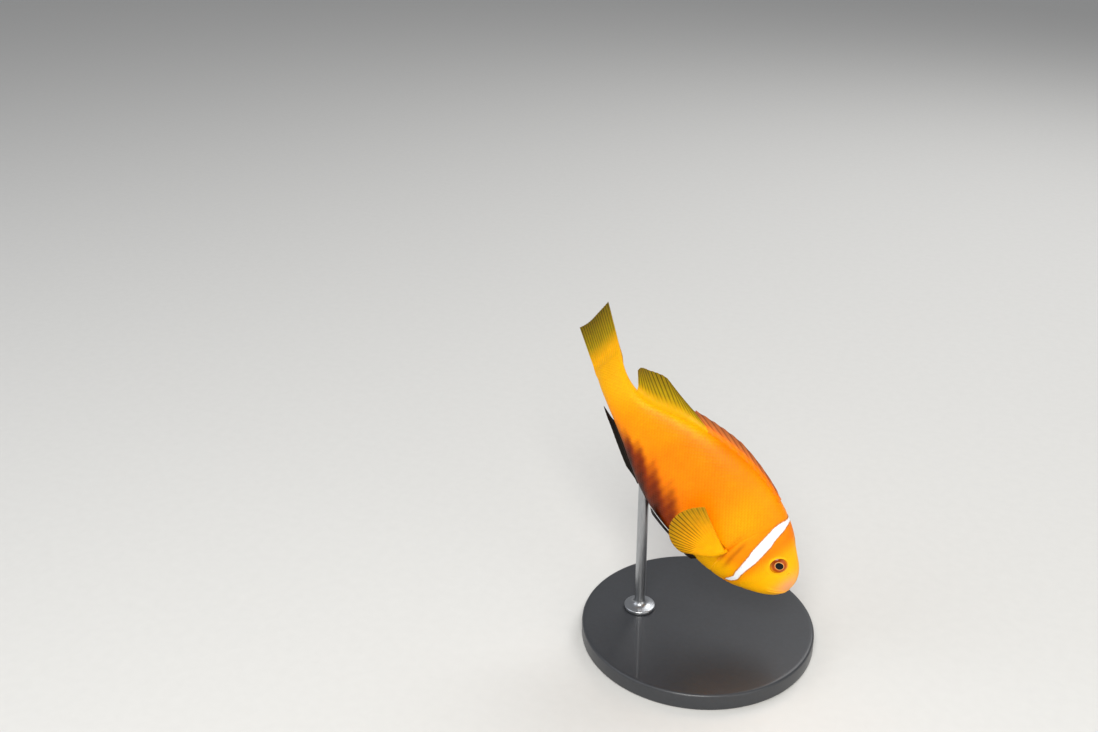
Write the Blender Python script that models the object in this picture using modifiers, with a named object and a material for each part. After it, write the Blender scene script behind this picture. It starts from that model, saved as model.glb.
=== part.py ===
"""Maldive anemonefish at life size, swimming head down above a round base, held by one rod.

Metres, +Z up. The head points toward +X, the fish's right side toward -Y, and the base stands on
z = 0 with its middle at the origin. Each part is laid out on a straight fish first, in
millimetres: station s runs back from the snout, y is the fish's left and z is up from its
midline. Then the spine is turned at the tail and the whole fish is pitched down.
"""
import math

import bpy
import numpy as np
from mathutils import Vector

# body, mm: heights of back and belly and the half width at each station from the snout
STATION = (0.0, 4.0, 8.5, 14.0, 21.0, 32.0, 45.0, 56.0, 66.0, 73.0, 80.0)
BACK = (2.3, 4.0, 7.2, 10.7, 13.3, 14.9, 13.3, 9.6, 5.3, 4.2, 4.8)
BELLY = (-8.6, -10.5, -13.8, -16.3, -17.6, -17.8, -16.0, -11.4, -6.8, -5.6, -5.5)
HALF_WIDTH = (2.9, 4.4, 5.6, 6.5, 7.2, 7.4, 6.3, 4.6, 3.0, 2.0, 1.3)
BODY_LENGTH = STATION[-1]
NOSE_LENGTH = 5.0
NOSE_BLUNTNESS = 2.3
MOUTH_HEIGHT = -4.0
WIDEST_LEVEL = 0.42          # share of the back's height in the level where a section is widest
SECTION_POWER = 0.95         # below 1 makes the flanks a little fuller than an ellipse
CUT = 0.3                    # thin cut between neighbouring parts
DOME_SHARES = (0.35, 0.7)    # rings of the shallow dome that closes a cut end
SNOUT_CROWDING = 1.45        # above 1 sets the head's rings closer together toward the snout

# divisions of the body, mm from the snout
GILL_EDGE = 20.6             # rear edge of the gill cover on the side
GILL_EDGE_RISE = 3.6         # how far that edge comes forward at nape and throat
STALK_START = 66.0
MOUTH_LINE = ((-3.0, -2.4), (4.9, -6.2))
JAW_HINGE = (7.2, -16.0)
JAW_BLOCK_WIDTH = 24.0

# eyes and gill covers, mm and degrees
EYE_STATION = 8.4
EYE_HEIGHT = 1.9
EYE_RADIUS = 2.75
EYE_DEPTH_RADIUS = 1.5
EYE_SUNK = 0.95
GILL_PLATE_FRONT = 14.6
GILL_PLATE_BOW = 2.6
GILL_PLATE_ANGLES = (-50.0, 38.0)
GILL_PLATE_THICKNESS = 1.1

# pose: the spine turns to the fish's left near the tail, and the head points down
TURN_START = 61.0
TURN_END = 79.0
TURN_ANGLE = 47.0
PITCH = 42.0
BALANCE_STATION = 36.0       # this point of the fish lies over the base's middle
BALANCE_LEVEL = -1.0
BALANCE_HEIGHT = 48.0

# fins, mm and degrees; folds and lengths are laws along the base: start, slope, bend, level from
SPINES = 10
SPINY_BASE = (21.5, 46.8)
SPINY_FOLD = (10.0, 12.0)
SPINY_LENGTH = (3.2, 10.6667, 0.0, 0.45)
SPINY_NOTCH = 0.07           # share by which the skin between two spines falls short of them
SOFT_RAYS = 17
SOFT_BASE = (48.2, 68.6)
SOFT_FOLD = (23.0, 65.0, 0.0, 0.4)
SOFT_LENGTH = (6.8, 20.0, -21.3)
SOFT_NOTCH = 0.05
ANAL_RAYS = 14
ANAL_BASE = (49.0, 66.0)
ANAL_FOLD = (12.0, 2.0)
ANAL_LENGTH = (6.0, 8.0, -8.5)
TAIL_RAYS = 15
TAIL_LENGTH = 19.0
TAIL_HOLLOW = 0.05           # share by which the middle rays are shorter than the outer ones
TAIL_BASE_HALF = 5.0
TAIL_END_HALF = 6.2
TAIL_SPREAD_POWER = 0.8
TAIL_ROOT_HALF = 1.1         # half thickness at the middle of the root, near the stalk's own
TAIL_ROOT_ROUND = 0.85       # how far the root thins toward its upper and lower ends, as an ellipse does
FAN_NOTCH = 0.025            # the same notch at the ends of the tail and pelvic rays
PECTORAL_RAYS = 17
PECTORAL_TOP = (21.5, -4.8)
PECTORAL_FOOT = (22.6, -9.4)
PECTORAL_FAN = (29.0, -37.0)
PECTORAL_OUT = 20.0
PECTORAL_LENGTH = 17.0
PECTORAL_OUTLINE = (1.0, 0.42, -0.95)
PECTORAL_NOTCH = 0.03
PECTORAL_CUP = 0.25          # how far the tips bend back in toward the flank
PELVIC_RAYS = 6
PELVIC_ROOT = 24.5
PELVIC_ROOT_SPREAD = 1.2
PELVIC_LENGTH = 18.0
PELVIC_TAPER = 0.24
PELVIC_ANGLE = (32.0, -15.0) # degrees from the belly's midline, outer ray and change to the inner
PELVIC_SPLAY = 8.0
PELVIC_LIFT = 0.6
RAY_HALF = 0.42              # half thickness of a ray at its root
RAY_TAPER = 0.25
MEMBRANE_HALF = 0.27         # half thickness of the skin between rays
ROOT_HALF = 0.6              # half thickness at a fin's root
ROOT_SHARE = 0.3             # share of a ray's length over which the root thins out

# stand, mm
BASE_RADIUS = 33.0
BASE_THICKNESS = 5.0
EDGE_ROUND = 0.8
ROD_STATION = 46.0
ROD_RADIUS = 1.5
ROD_FOOT_RADIUS = 4.5
ROD_FOOT_HEIGHT = 1.6
ROD_SPARE = 2.0              # length that the belly's cut takes off the rod's top again

ORANGE = (0.80, 0.21, 0.01)
YELLOW = (0.80, 0.38, 0.02)
OLIVE = (0.30, 0.22, 0.02)
BLACK = (0.02, 0.016, 0.014)
STEEL = (0.55, 0.55, 0.56)
CHARCOAL = (0.035, 0.036, 0.04)


def curve(x, heights):
    """Natural cubic curve through the heights given at the body's stations."""
    xs = np.array(STATION)
    ys = np.array(heights)
    step = np.diff(xs)
    count = len(xs)
    matrix = np.eye(count)
    right = np.zeros(count)
    for i in range(1, count - 1):
        matrix[i, i - 1:i + 2] = (step[i - 1], 2.0 * (step[i - 1] + step[i]), step[i])
        right[i] = 6.0 * ((ys[i + 1] - ys[i]) / step[i] - (ys[i] - ys[i - 1]) / step[i - 1])
    bend = np.linalg.solve(matrix, right)
    x = np.clip(x, xs[0], xs[-1])
    i = np.clip(np.searchsorted(xs, x) - 1, 0, count - 2)
    after = xs[i + 1] - x
    before = x - xs[i]
    h = step[i]
    cubic = (bend[i] * after ** 3 + bend[i + 1] * before ** 3) / (6.0 * h)
    first = (ys[i] / h - bend[i] * h / 6.0) * after
    second = (ys[i + 1] / h - bend[i + 1] * h / 6.0) * before
    return cubic + first + second


def law(u, start, slope, bend=0.0, until=1.0):
    """Value at place u along a fin's base: start + slope u + bend u squared, level past until."""
    u = np.minimum(u, until)
    return start + slope * u + bend * u ** 2


def frame(s):
    """Back, belly, widest level and half width of the body's section at station s."""
    round_off = np.clip(1.0 - s / NOSE_LENGTH, 0.0, 1.0) ** NOSE_BLUNTNESS
    cap = (1.0 - round_off) ** (1.0 / NOSE_BLUNTNESS)
    back = MOUTH_HEIGHT + (curve(s, BACK) - MOUTH_HEIGHT) * cap
    belly = MOUTH_HEIGHT + (curve(s, BELLY) - MOUTH_HEIGHT) * cap
    level = WIDEST_LEVEL * back + (1.0 - WIDEST_LEVEL) * belly
    return back, belly, level, curve(s, HALF_WIDTH) * cap


def skin(s, angle, depth=0.0):
    """Point of the body's surface at station s and angle round it (0 left, 90 back), sunk by depth."""
    back, belly, level, half_width = frame(s)
    y = half_width * np.sign(np.cos(angle)) * np.abs(np.cos(angle)) ** SECTION_POWER
    rise = np.where(np.sin(angle) > 0.0, back - level, level - belly) * np.sin(angle)
    shrink = 1.0 - depth / np.maximum(np.hypot(y, rise), 1e-6)
    return np.stack(np.broadcast_arrays(s, y * shrink, level + rise * shrink), -1)


def flank(s, z):
    """Half width of the body at station s and height z."""
    back, belly, level, half_width = frame(s)
    reach = np.where(z > level, back - level, level - belly)
    return half_width * np.clip(1.0 - ((z - level) / reach) ** 2, 0.0, 1.0) ** (0.5 * SECTION_POWER)


def gill_edge(angle):
    """Station where the head ends: furthest back on the side, forward at nape and throat."""
    return GILL_EDGE - GILL_EDGE_RISE * np.sin(angle) ** 2


def pose(points, behind=0.0):
    """Lay points (s, y, z) on the turned spine, straight behind their station, and pitch them."""
    s, y, z = points[..., 0], points[..., 1], points[..., 2]
    turn = math.radians(TURN_ANGLE)
    radius = (TURN_END - TURN_START) / turn
    heading = turn * np.clip((s - TURN_START) / (TURN_END - TURN_START), 0.0, 1.0)
    past = np.maximum(s - TURN_END, 0.0) + behind
    x = -(np.minimum(s, TURN_START) + radius * np.sin(heading) + past * np.cos(heading))
    side = radius * (1.0 - np.cos(heading)) + past * np.sin(heading)
    x = x + y * np.sin(heading) + BALANCE_STATION
    side = side + y * np.cos(heading)
    down = math.radians(PITCH)
    z = z - BALANCE_LEVEL
    ahead = x * math.cos(down) + z * math.sin(down)
    height = z * math.cos(down) - x * math.sin(down) + BALANCE_HEIGHT
    return np.stack([ahead, side, height], -1) * 0.001


def paint(name, colour, roughness, metallic=0.0):
    """Own material of one part."""
    material = bpy.data.materials.new(name)
    material.use_nodes = True
    shader = material.node_tree.nodes["Principled BSDF"]
    shader.inputs["Base Color"].default_value = (*colour, 1.0)
    shader.inputs["Roughness"].default_value = roughness
    shader.inputs["Metallic"].default_value = metallic
    return material


def add(name, verts, faces, colour=None, roughness=0.45, metallic=0.0):
    """Object from posed vertices and faces; without a colour it is a cutter."""
    mesh = bpy.data.meshes.new(name)
    mesh.from_pydata(np.asarray(verts).reshape(-1, 3).tolist(), [], faces)
    obj = bpy.data.objects.new(name, mesh)
    return keep(obj, colour, roughness, metallic)


def keep(obj, colour=None, roughness=0.45, metallic=0.0):
    """Put an object with the parts and paint it, or with the cutters when it has no colour."""
    for collection in list(obj.users_collection):
        collection.objects.unlink(obj)
    if colour is None:
        cutters.objects.link(obj)
        obj.hide_render = True
        obj.display_type = "WIRE"
        return obj
    fish.objects.link(obj)
    obj.data.materials.append(paint(obj.name, colour, roughness, metallic))
    obj.data.shade_smooth()
    obj.data.set_sharp_from_angle(angle=math.radians(40.0))
    return obj


def carve(obj, cutter, operation="DIFFERENCE"):
    """Exact Boolean of one part with a cutter."""
    modifier = obj.modifiers.new(cutter.name, "BOOLEAN")
    modifier.operation = operation
    modifier.solver = "EXACT"
    modifier.object = cutter


def thicken(obj, thickness, offset, group=""):
    """Solidify a sheet: offset 0 grows both ways and -1 inward; a vertex group scales it."""
    modifier = obj.modifiers.new("thickness", "SOLIDIFY")
    modifier.thickness = thickness * 0.001
    modifier.offset = offset
    modifier.vertex_group = group
    return obj


def sheet_faces(rows, columns, flip):
    """Quads of a grid of points, wound the other way when flipped."""
    faces = []
    for i in range(rows - 1):
        for j in range(columns - 1):
            a = i * columns + j
            quad = (a, a + 1, a + columns + 1, a + columns)
            faces.append(quad[::-1] if flip else quad)
    return faces


def dome(middle, ring):
    """Rings that close a cut end with a shallow dome, from its middle point out."""
    return [middle + (ring - middle) * share for share in DOME_SHARES]


def add_loft(name, rings, front, rear, colour=None):
    """Closed body through rings from front to rear, each end closed at a middle point."""
    count = len(rings)
    around = len(rings[0])
    verts = np.concatenate([np.concatenate(rings), [front, rear]])
    faces = []
    for j in range(around):
        k = (j + 1) % around
        for i in range(count - 1):
            faces.append((i * around + j, (i + 1) * around + j, (i + 1) * around + k, i * around + k))
        faces.append((count * around, j, k))
        faces.append((count * around + 1, (count - 1) * around + k, (count - 1) * around + j))
    return add(name, pose(verts), faces, colour)


def ring_angles(around):
    """Angles of a ring's points."""
    return np.linspace(0.0, 2.0 * math.pi, around, endpoint=False)


def middle_of(station):
    """Middle point of the section at a station."""
    return np.array([station, 0.0, frame(station)[2]])


def add_body(name, start, end, around, count, colour, depth=0.0):
    """Length of the body between two edges, each one station or a station for each angle."""
    start, end = np.broadcast_to(start, around), np.broadcast_to(end, around)
    share = np.linspace(0.0, 1.0, count)[:, None]
    shell = skin(start + share * (end - start), ring_angles(around), depth)
    front, rear = middle_of(start[0]), middle_of(end[0])
    rings = dome(front, shell[0]) + list(shell) + dome(rear, shell[-1])[::-1]
    return add_loft(name, rings, front, rear, colour)


def add_head_form(name, around, count, colour):
    """Whole head from the snout's point to the gill edge."""
    angle = ring_angles(around)
    share = np.linspace(0.0, 1.0, count + 1)[1:, None] ** SNOUT_CROWDING
    shell = skin(share * gill_edge(angle), angle)
    snout, rear = np.array([0.0, 0.0, MOUTH_HEIGHT]), middle_of(GILL_EDGE)
    return add_loft(name, list(shell) + dome(rear, shell[-1])[::-1], snout, rear, colour)


def add_jaw_block(name, grow):
    """Prism below the mouth line and ahead of the jaw's hinge, its edges moved out by grow."""
    front, corner = (np.array(point) for point in MOUTH_LINE)
    hinge = np.array(JAW_HINGE)
    mouth_out = across_edge(front, corner)
    cheek_out = across_edge(corner, hinge)
    distances = np.array([mouth_out @ corner, cheek_out @ corner]) + grow
    shifted = np.linalg.solve(np.array([mouth_out, cheek_out]), distances)
    ring = [front + mouth_out * grow, shifted, hinge + cheek_out * grow, np.array([front[0], hinge[1]])]
    verts = np.array([(s, 0.0, z) for s, z in ring])
    return thicken(add(name, pose(verts), [(0, 1, 2, 3)]), JAW_BLOCK_WIDTH, 0.0)


def across_edge(first, second):
    """Unit direction square to the edge from first to second, pointing up and back."""
    along = (second - first) / np.linalg.norm(second - first)
    return np.array([-along[1], along[0]])


def add_eye(name, side, grow, colour=None):
    """Flattened ball set into the head along the surface's own direction at the eye."""
    near = 0.1
    point = np.array([EYE_STATION, side * flank(EYE_STATION, EYE_HEIGHT), EYE_HEIGHT])
    slope_s = flank(EYE_STATION + near, EYE_HEIGHT) - flank(EYE_STATION - near, EYE_HEIGHT)
    slope_z = flank(EYE_STATION, EYE_HEIGHT + near) - flank(EYE_STATION, EYE_HEIGHT - near)
    out = np.array([-slope_s, side * 2.0 * near, -slope_z])
    out = out / np.linalg.norm(out)
    centre = Vector(pose(point - out * EYE_SUNK))
    tip = Vector(pose(point))
    bpy.ops.mesh.primitive_uv_sphere_add(segments=20, ring_count=10, radius=1.0, location=centre)
    eye = bpy.context.object
    eye.name = name
    eye.rotation_mode = "QUATERNION"
    eye.rotation_quaternion = (tip - centre).to_track_quat("Z", "Y")
    wide = (EYE_RADIUS + grow) * 0.001
    eye.scale = (wide, wide, (EYE_DEPTH_RADIUS + grow) * 0.001)
    return keep(eye, colour, roughness=0.08)


def add_gill_plate(name, side, grow, colour=None):
    """Gill cover: a plate of the head's own surface with a bowed front and the gill edge behind."""
    rows, columns = 7, 10
    across = np.linspace(0.0, 1.0, columns)
    margin = grow / frame(GILL_EDGE)[3] * (2.0 * across - 1.0)
    low, high = (math.radians(a) for a in GILL_PLATE_ANGLES)
    angle = low + (high - low) * across + margin
    front = GILL_PLATE_FRONT + GILL_PLATE_BOW * (2.0 * across - 1.0) ** 2 - grow
    along = np.linspace(0.0, 1.0, rows)[:, None]
    s = front + along * (gill_edge(angle) + 2.0 * grow - front)
    raised = 3.0 * grow
    grid = skin(s, angle, -raised) * (1, side, 1)
    plate = add(name, pose(grid), sheet_faces(rows, columns, side > 0.0), colour)
    return thicken(plate, GILL_PLATE_THICKNESS + raised + grow, -1.0)


def add_fin(name, station, behind, y, z, colour, root_half=ROOT_HALF):
    """Fin plate through rays and the skin between them, columns from front to rear.

    Every second column is the skin between two rays, and thinner than they are. The half
    thickness at the root is one number, or a number for each column.
    """
    grid = pose(np.stack(np.broadcast_arrays(station, y, z), -1), behind)
    rows, columns = grid.shape[:2]
    reach = np.linspace(0.0, 1.0, rows)[:, None]
    ray = np.arange(columns) % 2 == 0
    half = np.where(ray, RAY_HALF * (1.0 - RAY_TAPER * reach), MEMBRANE_HALF)
    half = half + (root_half - half) * np.clip(1.0 - reach / ROOT_SHARE, 0.0, 1.0)
    thickest = half.max()
    fin = add(name, grid, sheet_faces(rows, columns, False), colour, roughness=0.5)
    group = fin.vertex_groups.new(name="thickness")
    for index, weight in enumerate((half / thickest).ravel()):
        group.add([index], float(weight), "REPLACE")
    return thicken(fin, 2.0 * thickest, 0.0, "thickness")


def ray_columns(rays):
    """Place of each ray and each strip of skin between rays, 0 to 1, and which columns are skin."""
    columns = 2 * rays - 1
    return np.linspace(0.0, 1.0, columns), np.arange(columns) % 2 == 1


def add_median_fin(name, base, rays, edge, side, fold, length, notch, colour, rows=4):
    """Fin on the midline of back (side 1) or belly (side -1).

    The rays leave the body's edge at the fold angle to it and lean back.
    """
    u, between = ray_columns(rays)
    station = base[0] + (base[1] - base[0]) * u
    slope = np.arctan((curve(station + 0.5, edge) - curve(station - 0.5, edge)) * side)
    lean = slope + np.radians(law(u, *fold))
    reach = np.linspace(0.0, 1.0, rows)[:, None] * law(u, *length) * np.where(between, 1.0 - notch, 1.0)
    z = curve(station, edge) + side * (CUT + reach * np.sin(lean))
    return add_fin(name, station, reach * np.cos(lean), 0.0, z, colour)


def add_tail_fin(name, colour):
    """Fan of rays off the end of the tail stalk, nearly closed, its rear edge a little hollow."""
    u, between = ray_columns(TAIL_RAYS)
    across = 2.0 * u - 1.0
    length = TAIL_LENGTH * (1.0 - TAIL_HOLLOW * (1.0 - across ** 2))
    length = length * np.where(between, 1.0 - FAN_NOTCH, 1.0)
    reach = np.linspace(0.0, 1.0, 5)[:, None]
    spread = TAIL_BASE_HALF + (TAIL_END_HALF - TAIL_BASE_HALF) * reach ** TAIL_SPREAD_POWER
    z = 0.5 * (BACK[-1] + BELLY[-1]) + across * spread
    root_half = TAIL_ROOT_HALF * np.sqrt(1.0 - (TAIL_ROOT_ROUND * across) ** 2)
    return add_fin(name, BODY_LENGTH, CUT + reach * length, 0.0, z, colour, root_half)


def add_pectoral_fin(name, side, colour):
    """Fan of rays off a short upright root on the flank, held back and a little out."""
    u, between = ray_columns(PECTORAL_RAYS)
    root_s = PECTORAL_TOP[0] + (PECTORAL_FOOT[0] - PECTORAL_TOP[0]) * u
    root_z = PECTORAL_TOP[1] + (PECTORAL_FOOT[1] - PECTORAL_TOP[1]) * u
    root_y = flank(root_s, root_z) + CUT + ROOT_HALF
    fan = np.radians(PECTORAL_FAN[0] + (PECTORAL_FAN[1] - PECTORAL_FAN[0]) * u)
    out = math.radians(PECTORAL_OUT)
    share = np.linspace(0.0, 1.0, 5)[:, None]
    length = PECTORAL_LENGTH * law(u, *PECTORAL_OUTLINE)
    reach = share * length * np.where(between, 1.0 - PECTORAL_NOTCH, 1.0)
    s = root_s + reach * np.cos(fan) * math.cos(out)
    z = root_z + reach * np.sin(fan) * math.cos(out)
    y = root_y + reach * math.sin(out) * (1.0 - PECTORAL_CUP * share)
    return add_fin(name, s, 0.0, y * side, z, colour)


def add_pelvic_fin(name, side, colour):
    """Narrow fin of six rays folded back under the belly, a little clear of it toward the tip."""
    u, between = ray_columns(PELVIC_RAYS)
    share = np.linspace(0.0, 1.0, 5)[:, None]
    length = PELVIC_LENGTH * (1.0 - PELVIC_TAPER * u) * np.where(between, 1.0 - FAN_NOTCH, 1.0)
    s = PELVIC_ROOT + PELVIC_ROOT_SPREAD * u + share * length
    from_midline = np.radians(law(u, *PELVIC_ANGLE) + PELVIC_SPLAY * share * (1.0 - u))
    clearance = CUT + ROOT_HALF + PELVIC_LIFT * share
    grid = skin(s, from_midline - 0.5 * math.pi, -clearance)
    return add_fin(name, grid[..., 0], 0.0, grid[..., 1] * side, grid[..., 2], colour)


def add_rod(name):
    """Turned rod with a flared foot on the base, its top cut to the belly's slope."""
    foot = pose(np.array([ROD_STATION, 0.0, curve(ROD_STATION, BELLY)]))
    floor = BASE_THICKNESS + CUT
    top = foot[2] * 1000.0 + ROD_SPARE
    profile = [(0.0, top), (ROD_RADIUS, top), (ROD_RADIUS, floor + 1.6 * ROD_FOOT_HEIGHT)]
    profile += [(0.5 * (ROD_FOOT_RADIUS + ROD_RADIUS), floor + ROD_FOOT_HEIGHT)]
    profile += [(ROD_FOOT_RADIUS, floor + 0.5 * ROD_FOOT_HEIGHT), (ROD_FOOT_RADIUS, floor), (0.0, floor)]
    verts = np.array([(x, 0.0, z) for x, z in profile]) * 0.001
    mesh = bpy.data.meshes.new(name)
    mesh.from_pydata(verts.tolist(), [(i, i + 1) for i in range(len(profile) - 1)], [])
    rod = bpy.data.objects.new(name, mesh)
    rod.location = (foot[0], 0.0, 0.0)
    turned = rod.modifiers.new("turned", "SCREW")
    turned.steps = 24
    turned.render_steps = 24
    turned.use_merge_vertices = True
    turned.merge_threshold = 0.0001
    return keep(rod, STEEL, 0.3, 1.0)


for old in list(bpy.data.objects):
    bpy.data.objects.remove(old, do_unlink=True)
fish = bpy.data.collections.new("maldive_anemonefish")
cutters = bpy.data.collections.new("cutters")
bpy.context.scene.collection.children.link(fish)
bpy.context.scene.collection.children.link(cutters)

# head, lower jaw and gill covers share one outer form
head = add_head_form("head", 36, 13, ORANGE)
jaw = add_head_form("lower_jaw", 36, 13, YELLOW)
carve(jaw, add_jaw_block("jaw_form", 0.0), "INTERSECT")
carve(head, add_jaw_block("jaw_room", CUT))
for word, side in (("right", -1.0), ("left", 1.0)):
    add_gill_plate("gill_cover_" + word, side, 0.0, ORANGE)
    carve(head, add_gill_plate("gill_room_" + word, side, CUT))
    add_eye("eye_" + word, side, 0.0, BLACK)
    carve(head, add_eye("socket_" + word, side, CUT))

add_body("trunk", gill_edge(ring_angles(32)) + CUT, STALK_START, 32, 15, ORANGE)
add_body("tail_stalk", STALK_START + CUT, BODY_LENGTH, 24, 7, YELLOW)

add_median_fin(
    "dorsal_fin_spiny", SPINY_BASE, SPINES, BACK, 1.0, SPINY_FOLD, SPINY_LENGTH, SPINY_NOTCH, ORANGE
)
add_median_fin(
    "dorsal_fin_soft", SOFT_BASE, SOFT_RAYS, BACK, 1.0, SOFT_FOLD, SOFT_LENGTH, SOFT_NOTCH, OLIVE, 5
)
add_median_fin(
    "anal_fin", ANAL_BASE, ANAL_RAYS, BELLY, -1.0, ANAL_FOLD, ANAL_LENGTH, SOFT_NOTCH, BLACK
)
add_tail_fin("tail_fin", OLIVE)
for word, side in (("right", -1.0), ("left", 1.0)):
    add_pectoral_fin("pectoral_fin_" + word, side, YELLOW)
    add_pelvic_fin("pelvic_fin_" + word, side, BLACK)

# stand: a flat round base and one rod, whose top stops just short of the belly
belly_room = add_body("belly_room", ROD_STATION - 6.0, ROD_STATION + 12.0, 32, 9, None, -CUT)
carve(add_rod("stand_rod"), belly_room)
bpy.ops.mesh.primitive_cylinder_add(vertices=48, radius=BASE_RADIUS * 0.001, depth=BASE_THICKNESS * 0.001)
base = bpy.context.object
base.name = "stand_base"
base.location.z = 0.5 * BASE_THICKNESS * 0.001
edge_round = base.modifiers.new("edge_round", "BEVEL")
edge_round.width = EDGE_ROUND * 0.001
edge_round.segments = 2
edge_round.limit_method = "ANGLE"
keep(base, CHARCOAL, 0.4)
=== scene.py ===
"""Maldive anemonefish at life size on its display stand: skin, scales, eyes, fins and stand.

Each piece is laid out on a straight fish first, in millimetres: station s runs back from the snout,
y is the fish's left and z is up from its midline. The pose then turns the tail and pitches the
whole fish head down, just as the solids lie.
"""
import math

import bpy
import numpy as np
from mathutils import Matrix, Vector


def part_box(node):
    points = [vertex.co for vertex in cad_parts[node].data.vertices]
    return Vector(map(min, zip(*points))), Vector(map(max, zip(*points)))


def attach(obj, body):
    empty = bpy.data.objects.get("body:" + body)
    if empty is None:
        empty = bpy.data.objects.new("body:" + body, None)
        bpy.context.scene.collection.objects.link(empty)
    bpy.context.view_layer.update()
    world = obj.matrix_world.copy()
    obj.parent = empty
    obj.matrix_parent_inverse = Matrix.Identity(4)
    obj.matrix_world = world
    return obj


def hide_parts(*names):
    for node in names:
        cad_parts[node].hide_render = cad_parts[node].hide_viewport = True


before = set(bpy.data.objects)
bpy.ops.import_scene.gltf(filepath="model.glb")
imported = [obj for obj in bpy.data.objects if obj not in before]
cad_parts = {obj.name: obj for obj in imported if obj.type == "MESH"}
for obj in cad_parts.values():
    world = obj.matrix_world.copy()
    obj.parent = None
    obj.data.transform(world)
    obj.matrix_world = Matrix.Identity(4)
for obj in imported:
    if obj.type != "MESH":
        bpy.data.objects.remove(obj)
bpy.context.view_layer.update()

# Skin: the fish's thin living skin, in one piece over head, jaw, gill covers, trunk and tail stalk.
# It carries the lips, nostrils, eye sockets and the creases of the gill covers, and lies under the
# scales by their thickness.

# Its form is deepest a third of the way back. Back, belly and half width are smooth curves through
# a few stations, and the sections between are near ellipses.
STATION = (0.0, 4.0, 8.5, 14.0, 21.0, 32.0, 45.0, 56.0, 66.0, 73.0, 80.0)
BACK = (2.3, 4.0, 7.2, 10.7, 13.3, 14.9, 13.3, 9.6, 5.3, 4.2, 4.8)
BELLY = (-8.6, -10.5, -13.8, -16.3, -17.6, -17.8, -16.0, -11.4, -6.8, -5.6, -5.5)
HALF_WIDTH = (2.9, 4.4, 5.6, 6.5, 7.2, 7.4, 6.3, 4.6, 3.0, 2.0, 1.3)
BODY_LENGTH = STATION[-1]
NOSE_LENGTH = 5.0
NOSE_BLUNTNESS = 2.3
MOUTH_HEIGHT = -4.0
WIDEST_LEVEL = 0.42          # share of the back's height in the level where a section is widest
SECTION_POWER = 0.95         # below 1 makes the flanks a little fuller than an ellipse
SCALED_FIN_BASE = 5.5        # how far the scaled form runs on behind the stalk, into the tail fin
FIN_BASE_END = 0.04          # share of the stalk's width that it has left there
FIN_BASE_FALL = 1.5
TURN_START, TURN_END, TURN_ANGLE = 61.0, 79.0, 47.0
PITCH = 42.0
BALANCE_STATION, BALANCE_LEVEL = 36.0, -1.0    # this point of the fish lies over the base's middle
BALANCE_HEIGHT = 48.0
MM = 0.001


def hill(x, width):
    """1 at x 0, falling smoothly to nothing about two widths away."""
    return np.exp(-(x / width) ** 2)


def rise(x, start, end):
    """0 before start, 1 past end, smooth between."""
    t = np.clip((x - start) / (end - start), 0.0, 1.0)
    return t * t * (3.0 - 2.0 * t)


def natural_curve(x, heights):
    """Heights at x: cubics through the stations' heights that meet with equal slope and bend."""
    xs, ys = np.array(STATION), np.array(heights)
    step = np.diff(xs)
    count = len(xs)
    matrix, right = np.eye(count), np.zeros(count)
    for i in range(1, count - 1):
        matrix[i, i - 1:i + 2] = (step[i - 1], 2.0 * (step[i - 1] + step[i]), step[i])
        right[i] = 6.0 * ((ys[i + 1] - ys[i]) / step[i] - (ys[i] - ys[i - 1]) / step[i - 1])
    bend = np.linalg.solve(matrix, right)
    x = np.clip(x, xs[0], xs[-1])
    i = np.clip(np.searchsorted(xs, x) - 1, 0, count - 2)
    after, before, h = xs[i + 1] - x, x - xs[i], step[i]
    cubic = (bend[i] * after ** 3 + bend[i + 1] * before ** 3) / (6.0 * h)
    first = (ys[i] / h - bend[i] * h / 6.0) * after
    second = (ys[i + 1] / h - bend[i + 1] * h / 6.0) * before
    return cubic + first + second


def section(s):
    """Back, belly, widest level and half width at s, all closing on the mouth over the nose.

    Behind the stalk's end the section keeps its height and thins away inside the tail fin's root.
    """
    closing = np.clip(1.0 - s / NOSE_LENGTH, 0.0, 1.0) ** NOSE_BLUNTNESS
    cap = (1.0 - closing) ** (1.0 / NOSE_BLUNTNESS)
    back = MOUTH_HEIGHT + (natural_curve(s, BACK) - MOUTH_HEIGHT) * cap
    belly = MOUTH_HEIGHT + (natural_curve(s, BELLY) - MOUTH_HEIGHT) * cap
    level = WIDEST_LEVEL * back + (1.0 - WIDEST_LEVEL) * belly
    before_end = 1.0 - rise(s, BODY_LENGTH, BODY_LENGTH + SCALED_FIN_BASE)
    root = FIN_BASE_END + (1.0 - FIN_BASE_END) * before_end ** FIN_BASE_FALL
    return back, belly, level, natural_curve(s, HALF_WIDTH) * cap * root


def body_point(s, angle, out=0.0):
    """Point of a near ellipse at s, at an angle (0 left, 90 back, 180 right), moved out by out."""
    back, belly, level, half_width = section(s)
    y = half_width * np.sign(np.cos(angle)) * np.abs(np.cos(angle)) ** SECTION_POWER
    above = np.where(np.sin(angle) > 0.0, back - level, level - belly) * np.sin(angle)
    grow = 1.0 + out / np.maximum(np.hypot(y, above), 1e-6)
    return np.stack(np.broadcast_arrays(s, y * grow, level + above * grow), -1)


def flank(s, z):
    """Half width of the body at s and height z."""
    back, belly, level, half_width = section(s)
    reach = np.where(z > level, back - level, level - belly)
    return half_width * np.clip(1.0 - ((z - level) / reach) ** 2, 0.0, 1.0) ** (0.5 * SECTION_POWER)


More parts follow.
